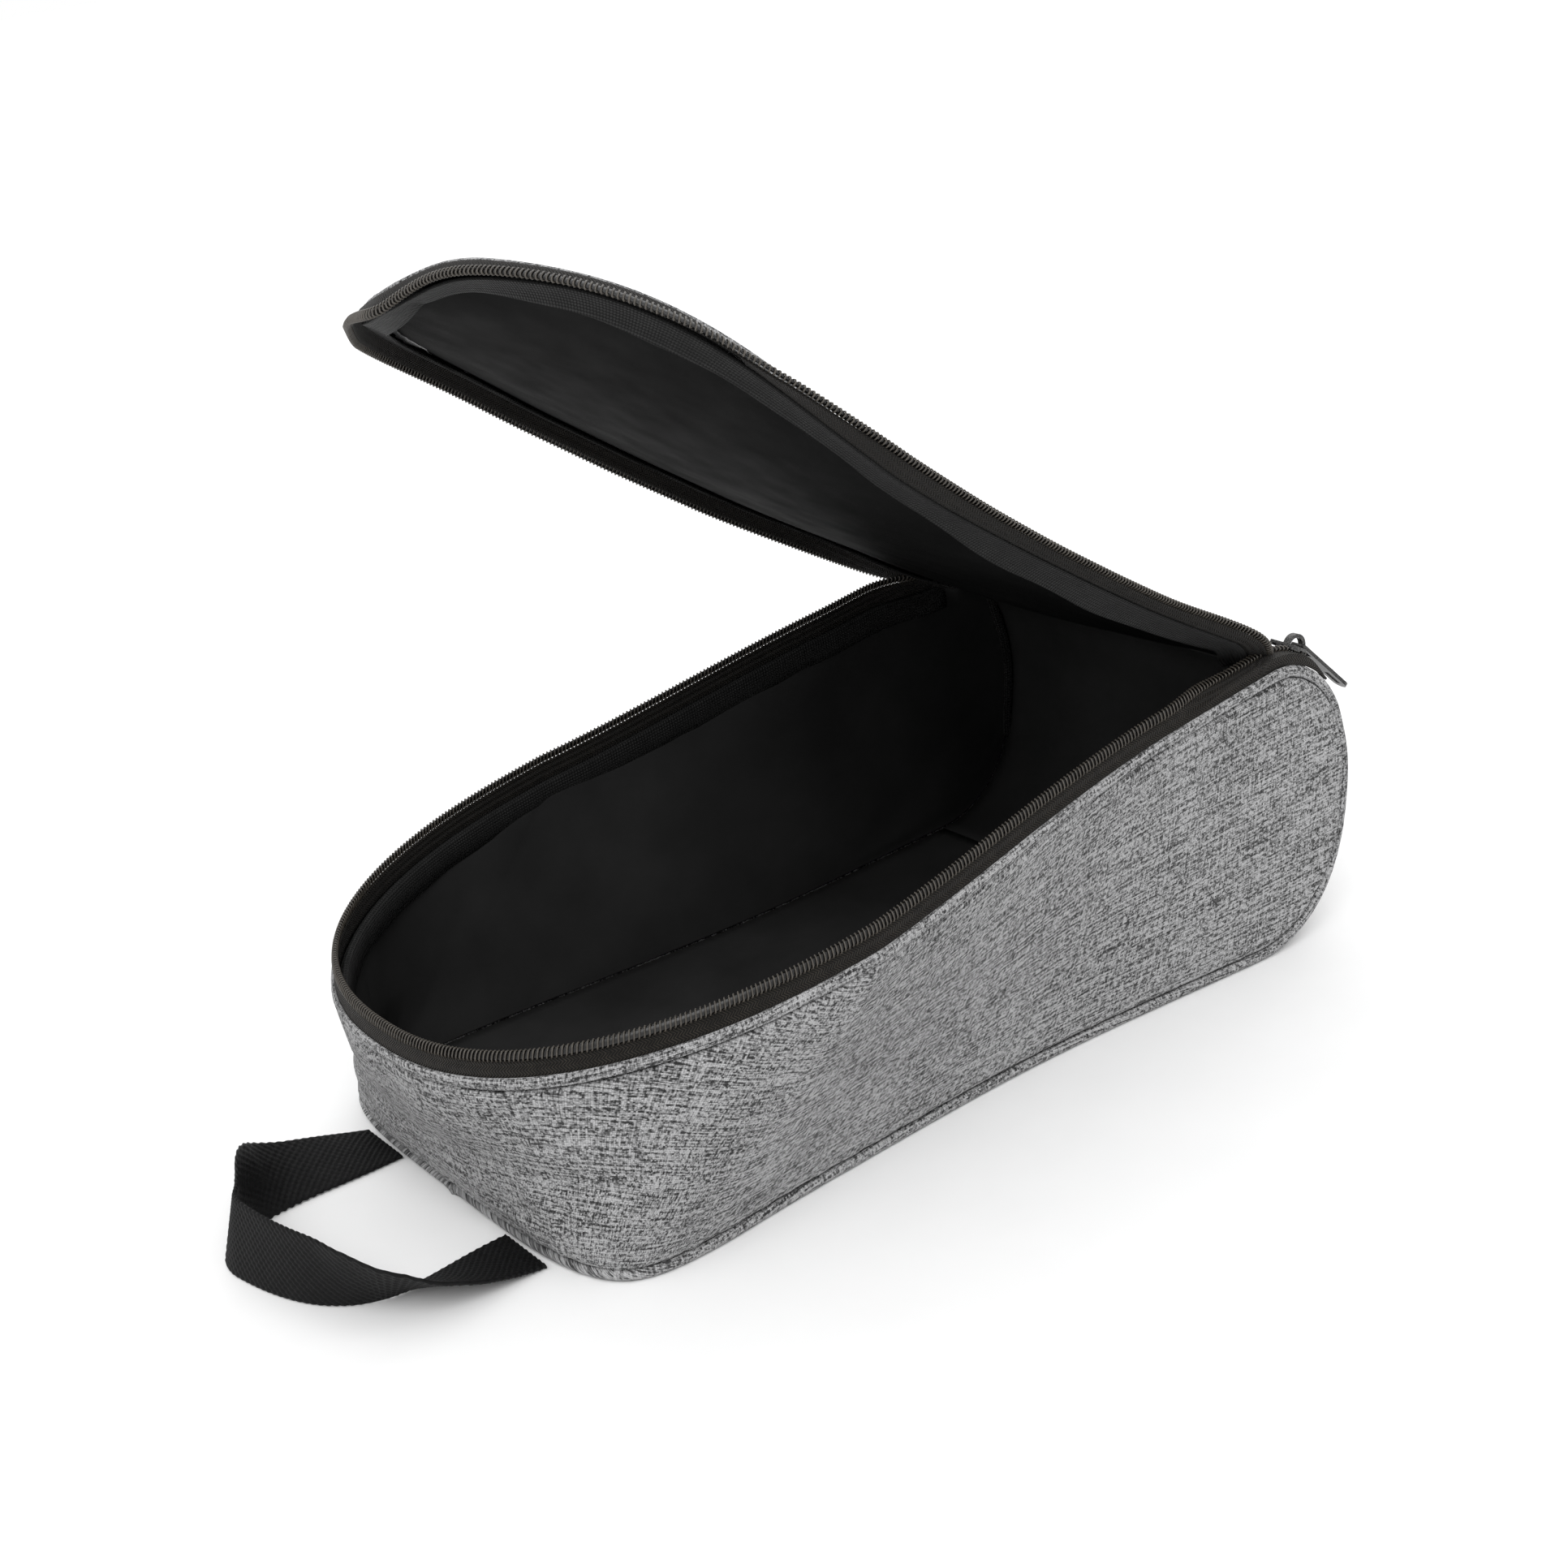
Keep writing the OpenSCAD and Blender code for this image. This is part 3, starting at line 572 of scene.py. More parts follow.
def tape_material(name, tint=1.0, twill=1.05):
    """Brown-black herringbone zipper tape."""
    n = Nodes(name)
    u, v = n.cloth_uv()
    column = n.math("PINGPONG", v + 40.0, 1.25)
    ridge = n.sine((u + column * 1.1) * (2 * math.pi / twill))
    lit = n.range(ridge, -0.3, 1.0)
    blotch = n.noise(n.place(), 320.0)
    tone = lit * n.range(blotch, 0.25, 0.75, 0.25, 1.0)
    colour = n.blend(tone, (0.0035, 0.0027, 0.002), (0.038 * tint, 0.032 * tint, 0.025 * tint))
    normal = n.bump(ridge, 0.00026, 0.9)
    return n.set(color=colour, rough=0.66, normal=normal, sheen=0.04, sheen_rough=0.45, specular=0.22)


def coil_material(name):
    """Nylon monofilament, brown-grey and glossy, over a stitched core painted near-black as the shade
    between the turns: the core's faces have no place in the cloth map, the turns do."""
    n = Nodes(name)
    across = n.cloth_uv()[1]
    p = n.place()
    blotch = n.noise(p, 420.0)
    # turn is 1 on the filament and 0 on the core, whose near-black colour is painted shade between the turns.
    turn = n.range(across, 0.001, 0.01)
    tone = turn * n.range(blotch, 0.3, 0.7, 0.55, 1.0)
    colour = n.blend(tone, (0.0026, 0.0021, 0.0017), (0.072, 0.063, 0.052))
    rough = n.range(blotch, 0.3, 0.7, 0.26, 0.38)
    normal = n.bump(n.noise(p, 2500.0, 1.0), 0.00002, 0.4)
    return n.set(color=colour, rough=rough, normal=normal, specular=0.5)


def thread_material(name, shade, lay=0.5):
    """Twisted sewing thread."""
    n = Nodes(name)
    u, v = n.cloth_uv()
    twist = n.sine((u + v * 2.0) * (2 * math.pi / lay))
    colour = n.blend(n.range(twist, -1.0, 1.0), grey(shade * 0.5), grey(shade * 1.3))
    normal = n.bump(twist, 0.00008, 0.7)
    return n.set(color=colour, rough=0.6, normal=normal, sheen=0.2, sheen_rough=0.5)


def webbing_material(name):
    """Black polypropylene yarns; the weave itself is in the mesh."""
    n = Nodes(name)
    u, v = n.cloth_uv()
    p = n.place()
    fibre = n.noise(n.xyz(u * 0.8, v * 9.0, 0.0), 2.2, 3.0)
    blotch = n.noise(p, 260.0)
    tone = n.range(fibre, 0.35, 0.7) * n.range(blotch, 0.3, 0.7, 0.4, 1.0)
    colour = n.blend(tone, (0.0008, 0.0008, 0.0009), (0.0095, 0.0095, 0.01))
    rough = n.range(fibre, 0.3, 0.7, 0.62, 0.42)
    normal = n.bump(fibre, 0.00012, 0.7)
    return n.set(color=colour, rough=rough, normal=normal, sheen=0.0, sheen_rough=0.4, specular=0.15)


def metal_material(name):
    """Black nickel plating with painted highlights along its edges, broken up by fine scratches."""
    n = Nodes(name)
    p = n.place()
    cloud = n.noise(p, 240.0, 3.0)
    scratch = n.noise(p, 1800.0, 2.0, 0.7)
    # Lighter colour on the sharp edges is a painted highlight, broken up by the scratch noise.
    bright_edges = n.range(n.node("NewGeometry", "Pointiness"), 0.52, 0.62)
    painted_edge_highlight = bright_edges * n.range(scratch, 0.4, 0.6)
    colour = n.blend(painted_edge_highlight, (0.0035, 0.0035, 0.004), (0.09, 0.088, 0.085))
    rough = n.range(cloud, 0.3, 0.7, 0.14, 0.24)
    normal = n.bump(scratch, 0.00002, 0.35)
    return n.set(color=colour, rough=rough, metal=0.0, normal=normal, specular=0.3)


def foam_material(name):
    n = Nodes(name)
    cells = n.node("TexVoronoi", "Distance", Vector=n.place(), Scale=1600.0)
    colour = n.blend(n.range(cells, 0.0, 0.6), (0.62, 0.61, 0.58), (0.82, 0.81, 0.78))
    return n.set(color=colour, rough=0.85, normal=n.bump(cells, 0.0002, 0.6))


def board_material(name):
    n = Nodes(name)
    fibre = n.noise(n.place(), 700.0, 4.0, 0.7)
    colour = n.blend(n.range(fibre, 0.3, 0.7), (0.04, 0.04, 0.042), (0.08, 0.08, 0.082))
    return n.set(color=colour, rough=0.8, normal=n.bump(fibre, 0.0001, 0.5))


HEATHER = heather_material("heather_cloth")
# One black lining cloth in two copies. The inner copy is lightened as painted light against the shade inside
# the bag. The lid's copy is darkened as painted shade against the sheen its underside catches.
LINING_PAINTED_LIGHT = lining_material("lining_painted_light", 0.024)
LID_LINING_PAINTED_SHADE = lining_material("lid_lining_painted_shade", 0.0095)
BINDING = binding_material("binding_mesh")
TAPE = tape_material("zipper_tape_twill")
# The lid's tape is the same tape with its light tone scaled by 0.62: painted shade for the shade the lid's
# edge lies in.
LID_TAPE_PAINTED_SHADE = tape_material("lid_tape_painted_shade", 0.62)
COIL = coil_material("zipper_coil_nylon")
THREAD_DARK = thread_material("thread_dark", 0.03)
WEBBING = webbing_material("webbing_black")
METAL = metal_material("black_nickel")
FOAM = foam_material("foam_cells")
BOARD = board_material("fibre_board")


def finish_piece(ob, material):
    """Gives a piece its look."""
    ob.data.materials.clear()
    ob.data.materials.append(material)
    return ob


# ---- Floor, light and camera

def stage():
    """White paper floor, white surroundings and two soft suns."""
    me = bpy.data.meshes.new("floor")
    s = 6.0
    me.from_pydata([(-s, -s, 0), (s, -s, 0), (s, s, 0), (-s, s, 0)], [], [(0, 1, 2, 3)])
    floor = bpy.data.objects.new("floor", me)
    bpy.context.scene.collection.objects.link(floor)
    n = Nodes("floor_paper")
    grain = n.noise(n.place(), 30.0, 3.0)
    floor.data.materials.append(
        n.set(color=n.blend(grain, grey(0.86), grey(0.9)), rough=0.85, specular=0.1))
    world = bpy.data.worlds.new("studio")
    bpy.context.scene.world = world
    world.use_nodes = True
    world.node_tree.nodes["Background"].inputs[0].default_value = (1, 1, 1, 1)
    world.node_tree.nodes["Background"].inputs[1].default_value = 1.0
    suns = (("key", (-0.5, -0.9, 1.3), 1.1, 40), ("back", (0.6, 0.7, 1.1), 0.5, 60))
    for name, place, energy, angle in suns:
        light = bpy.data.lights.new(name, "SUN")
        light.energy = energy
        light.angle = math.radians(angle)
        ob = bpy.data.objects.new(name, light)
        ob.rotation_euler = (-Vector(place)).to_track_quat("-Z", "Y").to_euler()
        bpy.context.scene.collection.objects.link(ob)
    bpy.context.scene.view_settings.view_transform = "Standard"


def camera():
    """The photo's camera: where it stands, how it is turned, its lens and its shift."""
    azimuth, elevation, roll = (math.radians(a) for a in (-32.378, 22.395, -8.81))
    back = Vector((math.sin(azimuth) * math.cos(elevation),
        -math.cos(azimuth) * math.cos(elevation), math.sin(elevation)))
    right = Vector((math.cos(azimuth), math.sin(azimuth), 0))
    up = back.cross(right)
    r = math.cos(roll) * right + math.sin(roll) * up
    u = -math.sin(roll) * right + math.cos(roll) * up
    cam = bpy.data.cameras.new("camera")
    cam.sensor_width = 36
    cam.lens = 58.54
    cam.shift_x, cam.shift_y = -0.0068, 0.0003
    cam.clip_start = 0.05
    ob = bpy.data.objects.new("camera", cam)
    m = Matrix((r, u, back)).transposed().to_4x4()
    m.translation = Vector((-0.4228, -0.6584, 0.4081))
    ob.matrix_world = m
    bpy.context.scene.collection.objects.link(ob)
    bpy.context.scene.camera = ob


stage()
camera()

# ---- Wall

WALL_LOW, WALL_HIGH = whole(bottom_rail(SEAM_D)), whole(rim_rail(SEAM_D))
WALL_IN_LOW, WALL_IN_HIGH = plan_inward(WALL_LOW), plan_inward(WALL_HIGH)
EDGE = np.array([0, 0.006, 0.014, 0.024, 0.038, 0.056])
ROWS = np.concatenate([EDGE, np.linspace(0.08, 0.92, 30), (1 - EDGE)[::-1]])
# Place along the wall, for its cloth map
MID_U = lengths((WALL_LOW + WALL_HIGH) / 2 * [1, 1, 0])


def wall_grid(depth):
    """The wall at that depth inside the cloth, with its cloth map."""
    low = WALL_LOW + WALL_IN_LOW * depth
    high = WALL_HIGH + WALL_IN_HIGH * depth
    s = ROWS[None, :, None]
    height = np.linalg.norm(high - low, axis=1)[:, None] * ROWS[None]
    return low[:, None] * (1 - s) + high[:, None] * s, cloth_map(MID_U[:, None], height + low[:, None, 2])


def edge_distance():
    """Distance of each point of the wall from its seams."""
    s = ROWS[None]
    height = np.linalg.norm(WALL_HIGH - WALL_LOW, axis=1)[:, None]
    low, high = (from_ends(lengths(rail))[:, None] for rail in (WALL_LOW, WALL_HIGH))
    return np.minimum(np.minimum(s, 1 - s) * height, 0.8 * (low * (1 - s) + high * s))


def tuck(distance, depth=1.5, reach=3.4):
    """Rounding of padded cloth into its seam."""
    t = np.clip(distance / reach, 0, 1)
    return -depth * (1 - np.sqrt(1 - (1 - t) ** 2))


def pucker(at, distance, seed, size=0.28, reach=9.0):
    """Gathers that a seam draws into the cloth beside it."""
    rng = np.random.default_rng(seed)
    out = np.zeros(np.broadcast(at, distance).shape)
    for wave in rng.uniform(5.5, 15, 5):
        out = out + np.sin(2 * math.pi * at / wave + rng.uniform(0, 6.28))
    return out / 2.2 * size * np.exp(-distance / reach) * np.clip(distance / 1.2, 0, 1)


def wall_panel():
    grid, uv = wall_grid(0)
    n = grid_normals(grid)
    d = edge_distance()
    x = grid[..., 0]
    crown = 1.6 * (1 - np.exp(-d / 12)) * ease((150 - x) / 60)
    toe = ease((-60 - x) / 70)
    soft = 0.5 * ripple(grid, 5, 70) + 1.1 * toe * ripple(grid * [1, 1, 2.2], 11, 52)
    lift = tuck(d, 2.3, 3.2) + pucker(uv[..., 0] / MM, d, 3, 0.34) + crown + soft * (1 - np.exp(-d / 9))
    grid = slack(grid + n * lift[..., None])
    ob = sheet_mesh("wall_panel", grid, uv)
    pins = np.where(d < 2.5, 1.0, np.exp(-(d - 2.5) / 2.0) * 0.6).ravel()
    growth = (0.25 + 0.75 * toe.ravel()) * 0.45
    simulate(ob, pins, growth, 3.5, pressure=0.35, gravity=0.2, bend=0.6, frames=22, keep=along(n))
    thick(ob, SHELL_T + FOAM_T * 0.8)
    finish_piece(ob, HEATHER)
    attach(ob, "bag")
    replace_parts(ob, "wall_shell", "wall_foam")


wall_panel()

# ---- Heel and bottom

# Depths of the rows that turn into the seam
FLANGE = np.array([SEAM_D, 3.75, 3.4, 3.0, 2.5])
CORNER_R, CORNER_STEPS = 2.4, 5
HINGE_TURN = 9.0


def heel_profile(inset, count):
    """The heel from the hinge down to the floor as [x, 0, z], that far inside the cloth, and its
    inward direction; count points go round the upper corner."""
    a = np.radians(np.linspace(HINGE_TURN, 90, count))
    b = np.radians(90 - 90 * np.arange(ARC + 1) / ARC)
    z = np.linspace(UPPER_Z, LOWER_R, 12)[1:-1]
    r, q = UPPER_R - inset, LOWER_R - inset
    points = columns(
        (UPPER_X + r * np.sin(a), 0, UPPER_Z + r * np.cos(a)), (HEEL_X - inset, 0, z),
        (LOWER_X + q * np.sin(b), 0, LOWER_R - q * np.cos(b)))
    return points, columns((-np.sin(a), 0, -np.cos(a)), (-1, 0, 0 * z), (-np.sin(b), 0, np.cos(b)))


def panel_edge():
    """The heel and bottom panel's near edge from the hinge to the toe tip: point, the side's outward
    direction and the profile's inward one."""
    heel, heel_in = heel_profile(0, 16)
    x = mix(LOWER_X, BOTTOM_ROUND_X, np.arange(1, SIDE + 1) / SIDE)
    tx, ty = toe_xy(*BOTTOM_TOE, TOE_A)
    edge = np.concatenate([heel, columns((x, 0, 0), (tx, ty, 0))])
    inward = np.concatenate([heel_in, np.tile([0, 0, 1.0], (SIDE + TOE, 1))])
    half = bottom_half(np.minimum(edge[:, 0], HEEL_X))
    half[:len(heel) - ARC - 1] = HEEL_W / 2
    half[-TOE:] = ty
    edge[:, 1] = -half
    plan = unit(np.gradient(edge[:, :2], axis=0))
    side = columns((-plan[:, 1], plan[:, 0], 0))
    side[:len(heel) - 1] = [0, -1, 0]
    return edge, side, inward


def gusset_panel():
    mirror = np.array([1, -1, 1])
    across = np.linspace(0, 1, 27)[1:-1]
    ang = np.radians(np.linspace(0, 90, CORNER_STEPS))
    rings = []
    for e, o, w in zip(*panel_edge()):
        sec = [e + w * f + o * float(tuck(SEAM_D - f, 1.5, 2.2)) for f in FLANGE]
        room = min(CORNER_R, abs(e[1]) * 0.5)
        for a in ang:
            sec.append(e + o * (-room + room * math.cos(a)) + w * (CORNER_R - CORNER_R * math.sin(a)))
        far = [q * mirror for q in sec[::-1]]
        start = sec[-1]
        inner = min(1.0, abs(start[1]) / 30)
        for t in across:
            rise = 2.2 * (1 - (2 * t - 1) ** 2) * max(0.0, -w[0]) ** 1.5 * inner
            sec.append(mix(start, start * mirror, t) - w * rise)
        rings.append(sec + far)
    grid = np.array(rings)
    heel = ease((grid[..., 0] - 105) / 30)
    grid = slack(grid + (0.35 * ripple(grid, 21, 60) * heel)[..., None] * [1, 0, 0])
    grid[..., 2] = np.maximum(grid[..., 2], 0.02)
    middle = grid.shape[1] // 2
    wide = row_lengths(grid)
    wide -= wide[:, middle][:, None]
    uv = cloth_map(lengths(grid[:, middle])[:, None] + 900, wide + 500)
    ob = sheet_mesh("gusset_panel", grid, uv, flip=True)
    thick(ob, PANEL_T)
    finish_piece(ob, HEATHER)
    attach(ob, "bag")
    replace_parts(ob, "bottom_shell", "heel_shell", "heel_foam", "bottom_board")


gusset_panel()

# ---- Rim line

# How far the rim's cloth, tape and coil go round the heel corners, in degrees
BAND_TURN, TAPE_TURN, COIL_TURN = 10, 58, 40


def corner_points(sign, turns):
    a = np.radians(turns)
    return np.stack([UPPER_X + UPPER_R * np.sin(a), sign * HEEL_W / 2 + 0 * a,
        UPPER_Z + UPPER_R * np.cos(a), np.degrees(a)], 1)


def rim_line(turn=None, step=3.0):
    """Rim line as [x, y, z, tilt of the upright], from the near heel corner round the toe; with a
    turn it goes on round both heel corners."""
    x = mix(TANGENT_X, RIM_ROUND_X, np.arange(SIDE + 1) / SIDE)
    near = np.stack([x, -rim_half(x), rim_z(x), 0 * x], 1)
    a = np.concatenate([TOE_A, 180 - TOE_A[-2::-1]])
    tx, ty = toe_xy(*RIM_TOE, np.where(a > 90, 180 - a, a))
    toe = np.stack([tx, np.where(a > 90, ty, -ty), rim_z(tx), 0 * tx], 1)
    line = np.concatenate([near, toe, near[::-1] * [1, -1, 1, 1]])
    if turn is not None:
        deg = -math.degrees(SLOPE)
        line = np.concatenate([corner_points(-1, np.linspace(turn, deg, 12)[:-1]), line])
        line[11, 3] = deg
        line = np.concatenate([line, corner_points(1, np.linspace(deg, turn, 12)[1:])])
    apart = np.linalg.norm(np.diff(line[:, :3], axis=0), axis=1) > 0.05
    return resample(line[np.concatenate([[True], apart])], step)


def rail_frames(line):
    """Inward direction in plan and own upright of each point."""
    inward = smooth_rows(plan_inward(line[:, :3]), 2)
    heel = line[:, 0] > TANGENT_X - 1
    inward[heel] = np.sign(-line[heel, 1])[:, None] * [0, 1, 0]
    a = np.radians(line[:, 3])
    return unit(inward), columns((np.sin(a), 0, np.cos(a)))


def section_rings(line, inward, up, depth, rise):
    """Rings from the depth and the rise of each point of the section (n, m)."""
    return slack(line[:, None, :3] + inward[:, None] * depth[..., None] + up[:, None] * rise[..., None])


def swept(name, at, rings, shift=0.0, flip=False):
    """Mesh of one closed tube whose cloth map runs along it; shift moves the map's start."""
    uv = cloth_map(at[:, None] + shift, row_lengths(rings) + shift)
    return swept_mesh(name, [(rings, uv)], flip)


def rim_band():
    line, at = rim_line(BAND_TURN)
    inward, up = rail_frames(line)
    sec = np.array([[2.2, -4.2], [1.3, -4.05], [0.4, -3.7], [-0.02, -3.1], [-0.2, -2.3], [-0.2, -1.4],
        [-0.02, -0.6], [0.35, -0.1], [0.8, 0.1], [1.25, 0.0], [1.35, -1.2], [1.6, -3.0]])
    wob = 0.18 * ripple(line[:, :3], 31, 26)
    depth = sec[None, :, 0] - wob[:, None] * np.array([0, .3, .6, 1, 1, 1, 1, .6, .3, 0, 0, 0])
    rise = np.broadcast_to(sec[None, :, 1], depth.shape)
    ob = swept("rim_strip", at, section_rings(line, inward, up, depth, rise), 300)
    finish_piece(ob, HEATHER)
    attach(ob, "bag")
    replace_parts(ob, "rim_band")


rim_band()

# ---- Zippers

# The tape's lift where it lies flat, and its lean on the far side
FLAT_LIFT, FAR_LEAN = 3.33, 14


def strip_section(lean, lift, foot):
    """Tape section as (depth, rise) points around the tape, per station."""
    lean = np.radians(lean)
    s, c = np.sin(lean), np.cos(lean)
    half = TAPE_T / 2
    reach = TAPE_STEPS + [TAPE_W + 0.5]
    path = [(t, half + 0.06 * math.sin(t * 2)) for t in reach] + [(t, -half) for t in reach[::-1]]
    depth = [COIL_D - half + 0 * s] + [COIL_D + t * s - u * c for t, u in path] + [COIL_D + half + 0 * s]
    rise = [foot] + [lift + t * c + u * s for t, u in path] + [foot]
    return np.stack(depth, 1), np.stack(rise, 1)


def coil_mesh(name, centre, d, m, at, radius=0.3, samples=9):
    """Monofilament wound about a line of centres, one turn for each pitch, over a stitched core;
    d is the direction across the coil and m the one square to it."""
    k = np.arange(int(at[-1] / PITCH) * samples + 1) / samples
    s = k * PITCH
    dd, mm = unit(between(s, at, d)), unit(between(s, at, m))
    a = 2 * math.pi * k
    ex, ey = (np.sign(v) * np.abs(v) ** 0.75 for v in (np.cos(a), np.sin(a)))
    line = between(s, at, centre) + dd * (ex * (COIL_W / 2 - radius))[:, None] \
        + mm * (ey * (COIL_T / 2 - radius))[:, None]
    a = 2 * math.pi * np.arange(8) / 8
    core = centre[:, None] + (np.cos(a) * (COIL_W * 0.7) / 2)[None, :, None] * d[:, None] \
        + (np.sin(a) * (COIL_T * 0.4) / 2)[None, :, None] * m[:, None]
    # With no cloth map the core takes the coil's dark colour: painted shade between the turns.
    no_map = np.zeros(core.shape[:2] + (2,))
    ob = swept_mesh(name, [tube(line, radius, 5, np.cross(dd, mm)), (core, no_map)])
    return finish_piece(ob, COIL)


def lean_share(line):
    """1 where the rim's zipper leans in, 0 where it lies flat; the far side stands up further."""
    return ease((TANGENT_X - 11 - line[:, 0] + 14 * (line[:, 1] > 0)) / 35)


def rim_frames(turn):
    """Frames of the rim's zipper with its lean and its lift; it stands up more on the far side."""
    line, at = rim_line(turn, 1.5)
    share = lean_share(line)
    lean = mix(90, mix(LEAN, FAR_LEAN, ease((line[:, 1] - 10) / 75)), share)
    return line, at, *rail_frames(line), lean, mix(FLAT_LIFT, 0, share)


def lower_zip():
    line, at, inward, up, lean, lift = rim_frames(TAPE_TURN)
    end = np.clip(from_ends(at) / 14.0, 0, 1)
    lift = np.where(line[:, 0] > UPPER_X, mix(0.5, lift, ease(end)), lift)
    foot = np.where(line[:, 0] > TANGENT_X, 0.05, mix(0.05, -3.0, ease((TANGENT_X - line[:, 0]) / 6)))
    depth, rise = strip_section(lean, lift, np.minimum(foot, lift - 0.1))
    taper = mix(0.25, 1, ease(end * 1.2))
    depth = COIL_D - TAPE_T / 2 + (depth - COIL_D + TAPE_T / 2) * taper[:, None]
    tape = swept("rim_zip_tape", at, section_rings(line, inward, up, depth, rise))
    finish_piece(tape, TAPE)
    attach(tape, "bag")
    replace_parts(tape, "zipper_tape_lower")

    line, at, inward, up, lean, lift = rim_frames(COIL_TURN)
    s, c = np.sin(np.radians(lean))[:, None], np.cos(np.radians(lean))[:, None]
    d, m = inward * s + up * c, -inward * c + up * s
    base = line[:, :3] + inward * COIL_D + up * lift[:, None]
    centre = slack(base + d * (TAPE_W - 0.1 + COIL_W / 2) + m * (COIL_T + TAPE_T) * 0.3)
    coil = coil_mesh("rim_zip_coil", centre, d, m, at)
    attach(coil, "bag")
    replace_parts(coil, "zipper_coil_lower")


lower_zip()

# ---- Lid

FOLD_AXIS = np.array([-math.sin(FOLD_SKEW), math.cos(FOLD_SKEW), 0])
FOLD = np.array([FOLD_X, 0, FOLD_Z])


def opened(p):
    """Points of the closed lid, turned about the fold to where the photo shows it."""
    v = np.asarray(p, float) - FOLD
    c, s = math.cos(LID_OPEN), math.sin(LID_OPEN)
    return FOLD + (v * c + np.cross(np.broadcast_to(FOLD_AXIS, v.shape), v) * s
        + FOLD_AXIS * (v @ FOLD_AXIS)[..., None] * (1 - c))


# How far the lid's cloth edge stands over its flat place, along the bag: [closed x, rise]
NEAR_RISE = np.array([[-166.05, 11], [-165.9, 15], [-165.6, 18], [-165, 21.5], [-164.4, 23.4], [-163.1, 25],
    [-161, 26], [-159.7, 26], [-151, 27], [-140, 26.4], [-121, 22.9], [-110, 19.6], [-98, 16.2], [-84, 11.6],
    [-75, 8.6], [-62, 5.4], [-46, 1.6], [-30, -0.4], [-10, -2], [20, -3.3], [50, -4.1], [84, -3.8],
    [118, -2.8], [135, 0]])
FAR_RISE = np.array([[-166, 11], [-164, 12], [-158, 13], [-147, 15.5], [-121, 15], [-84, 13.5], [-46, 9.5],
    [-10, 6], [30, 3.5], [70, 3], [110, 1.5], [135, 0]])
# What the tip of the lid stands up further, across the bag: [y, rise]
TIP_RISE = np.array([[-46, 0], [-33, 0.6], [-21, 2.1], [-13, 2.8], [-4, 3.2], [4, 2.4], [14, 1.9], [30, 1.4],
    [45, 0]])
LID_SIDE, LID_TOE, LID_ROOT = 48, 36, 10
LID_MID = LID_UNDER + 2.0
BINDING_W = 9.3


def lid_half_rail(sign):
    """Cloth edge of the lid in the photographed place, from the hinge to the tip, and its closed x."""
    x_fold = FOLD_X - sign * 80 * math.tan(FOLD_SKEW)
    x1 = mix(x_fold, RIM_ROUND_X, np.arange(LID_SIDE + 1) / LID_SIDE)
    h1 = rim_half(x1) - 4.5 * ease((x1 - 40) / 60)
    turn = 90 * ease(np.arange(1, LID_TOE + 1) / LID_TOE)
    tx, ty = toe_xy(*RIM_TOE, turn)
    guide = np.concatenate([x1, tx])
    y = sign * np.concatenate([h1, ty])
    z = rim_z(guide) + LID_MID
    for place, table in ((guide, NEAR_RISE if sign < 0 else FAR_RISE), (y, TIP_RISE)):
        z = z + np.interp(place, table[:, 0], table[:, 1])
    x = guide + 6.5 * ease((-60 - guide) / 106)
    if sign > 0:
        corner = bell(guide, -158, 22) * ease(y / 30)
        x, y = x + 5 * corner, y - 4 * corner
    p = opened(columns((x, y, z)))
    root_x = HEEL_X - 17.5
    root = np.array([root_x, sign * 71.5, UPPER_Z + math.sqrt(UPPER_R**2 - (root_x - UPPER_X) ** 2) - 0.8])
    first, ahead = p[0], unit(p[1] - p[0])
    start = unit(np.array([-0.86, sign * 0.32, 0.4]))
    reach = np.linalg.norm(first - root)
    t = (np.arange(LID_ROOT) / LID_ROOT)[:, None]
    b1, b2 = root + start * reach * 0.4, first - ahead * reach * 0.35
    curve = root * (1 - t) ** 3 + 3 * b1 * t * (1 - t) ** 2 + 3 * b2 * t * t * (1 - t) + first * t**3
    return np.concatenate([curve, p]), np.concatenate([mix(HEEL_X - 20, guide[0], t[:, 0]), guide])


(LID_NEAR, NEAR_GUIDE), (LID_FAR, FAR_GUIDE) = lid_half_rail(-1), lid_half_rail(1)
LID_RAIL = np.concatenate([LID_NEAR, LID_FAR[-2::-1]])
LID_RAIL[1:-1] = smooth_rows(LID_RAIL, 8)[1:-1]
LID_NEAR, LID_FAR = LID_RAIL[:len(LID_NEAR)], LID_RAIL[len(LID_NEAR) - 1:][::-1]
LID_RAIL_AT, LID_ROOT_D = lengths(LID_RAIL), lengths(LID_NEAR)

# Shares across the lid, closer together at its edges
LID_ACROSS = np.linspace(0, 1, 34)
LID_ACROSS = ease(LID_ACROSS) * 0.55 + LID_ACROSS * 0.45


def lid_face(crown=-1.5):
    """Rows across the lid between its two edges: points, normals, cloth map and the distance of
    each point from the free edge."""
    t = LID_ACROSS[None]
    grid = LID_NEAR[:, None] * (1 - t)[..., None] + LID_FAR[:, None] * t[..., None]
    from_edge = np.linalg.norm(grid[:, :, None] - LID_RAIL[None, None], axis=3).min(axis=2)
    width = np.linalg.norm(LID_NEAR - LID_FAR, axis=1)[:, None]
    n = grid_normals(grid)
    n[-1] = n[-2]
    n = n * np.sign(n[..., 2:3] + 1e-9)
    dome = (1 - (2 * t - 1) ** 2) * np.clip(width / 120, 0, 1) * (1 - np.exp(-from_edge / 14))
    uv = cloth_map(LID_ROOT_D[:, None], (t - 0.5) * width + 200)
    return grid + n * (crown * dome)[..., None], n, uv, from_edge


def lid_pins(from_edge, edge, hinge):
    """Pins for the lid's cloth near its edge and its hinge, and at its tip."""
    pins = from_edge < edge
    pins[LID_ROOT_D < hinge] = True
    pins[-2:] = True
    return pins.ravel().astype(float)


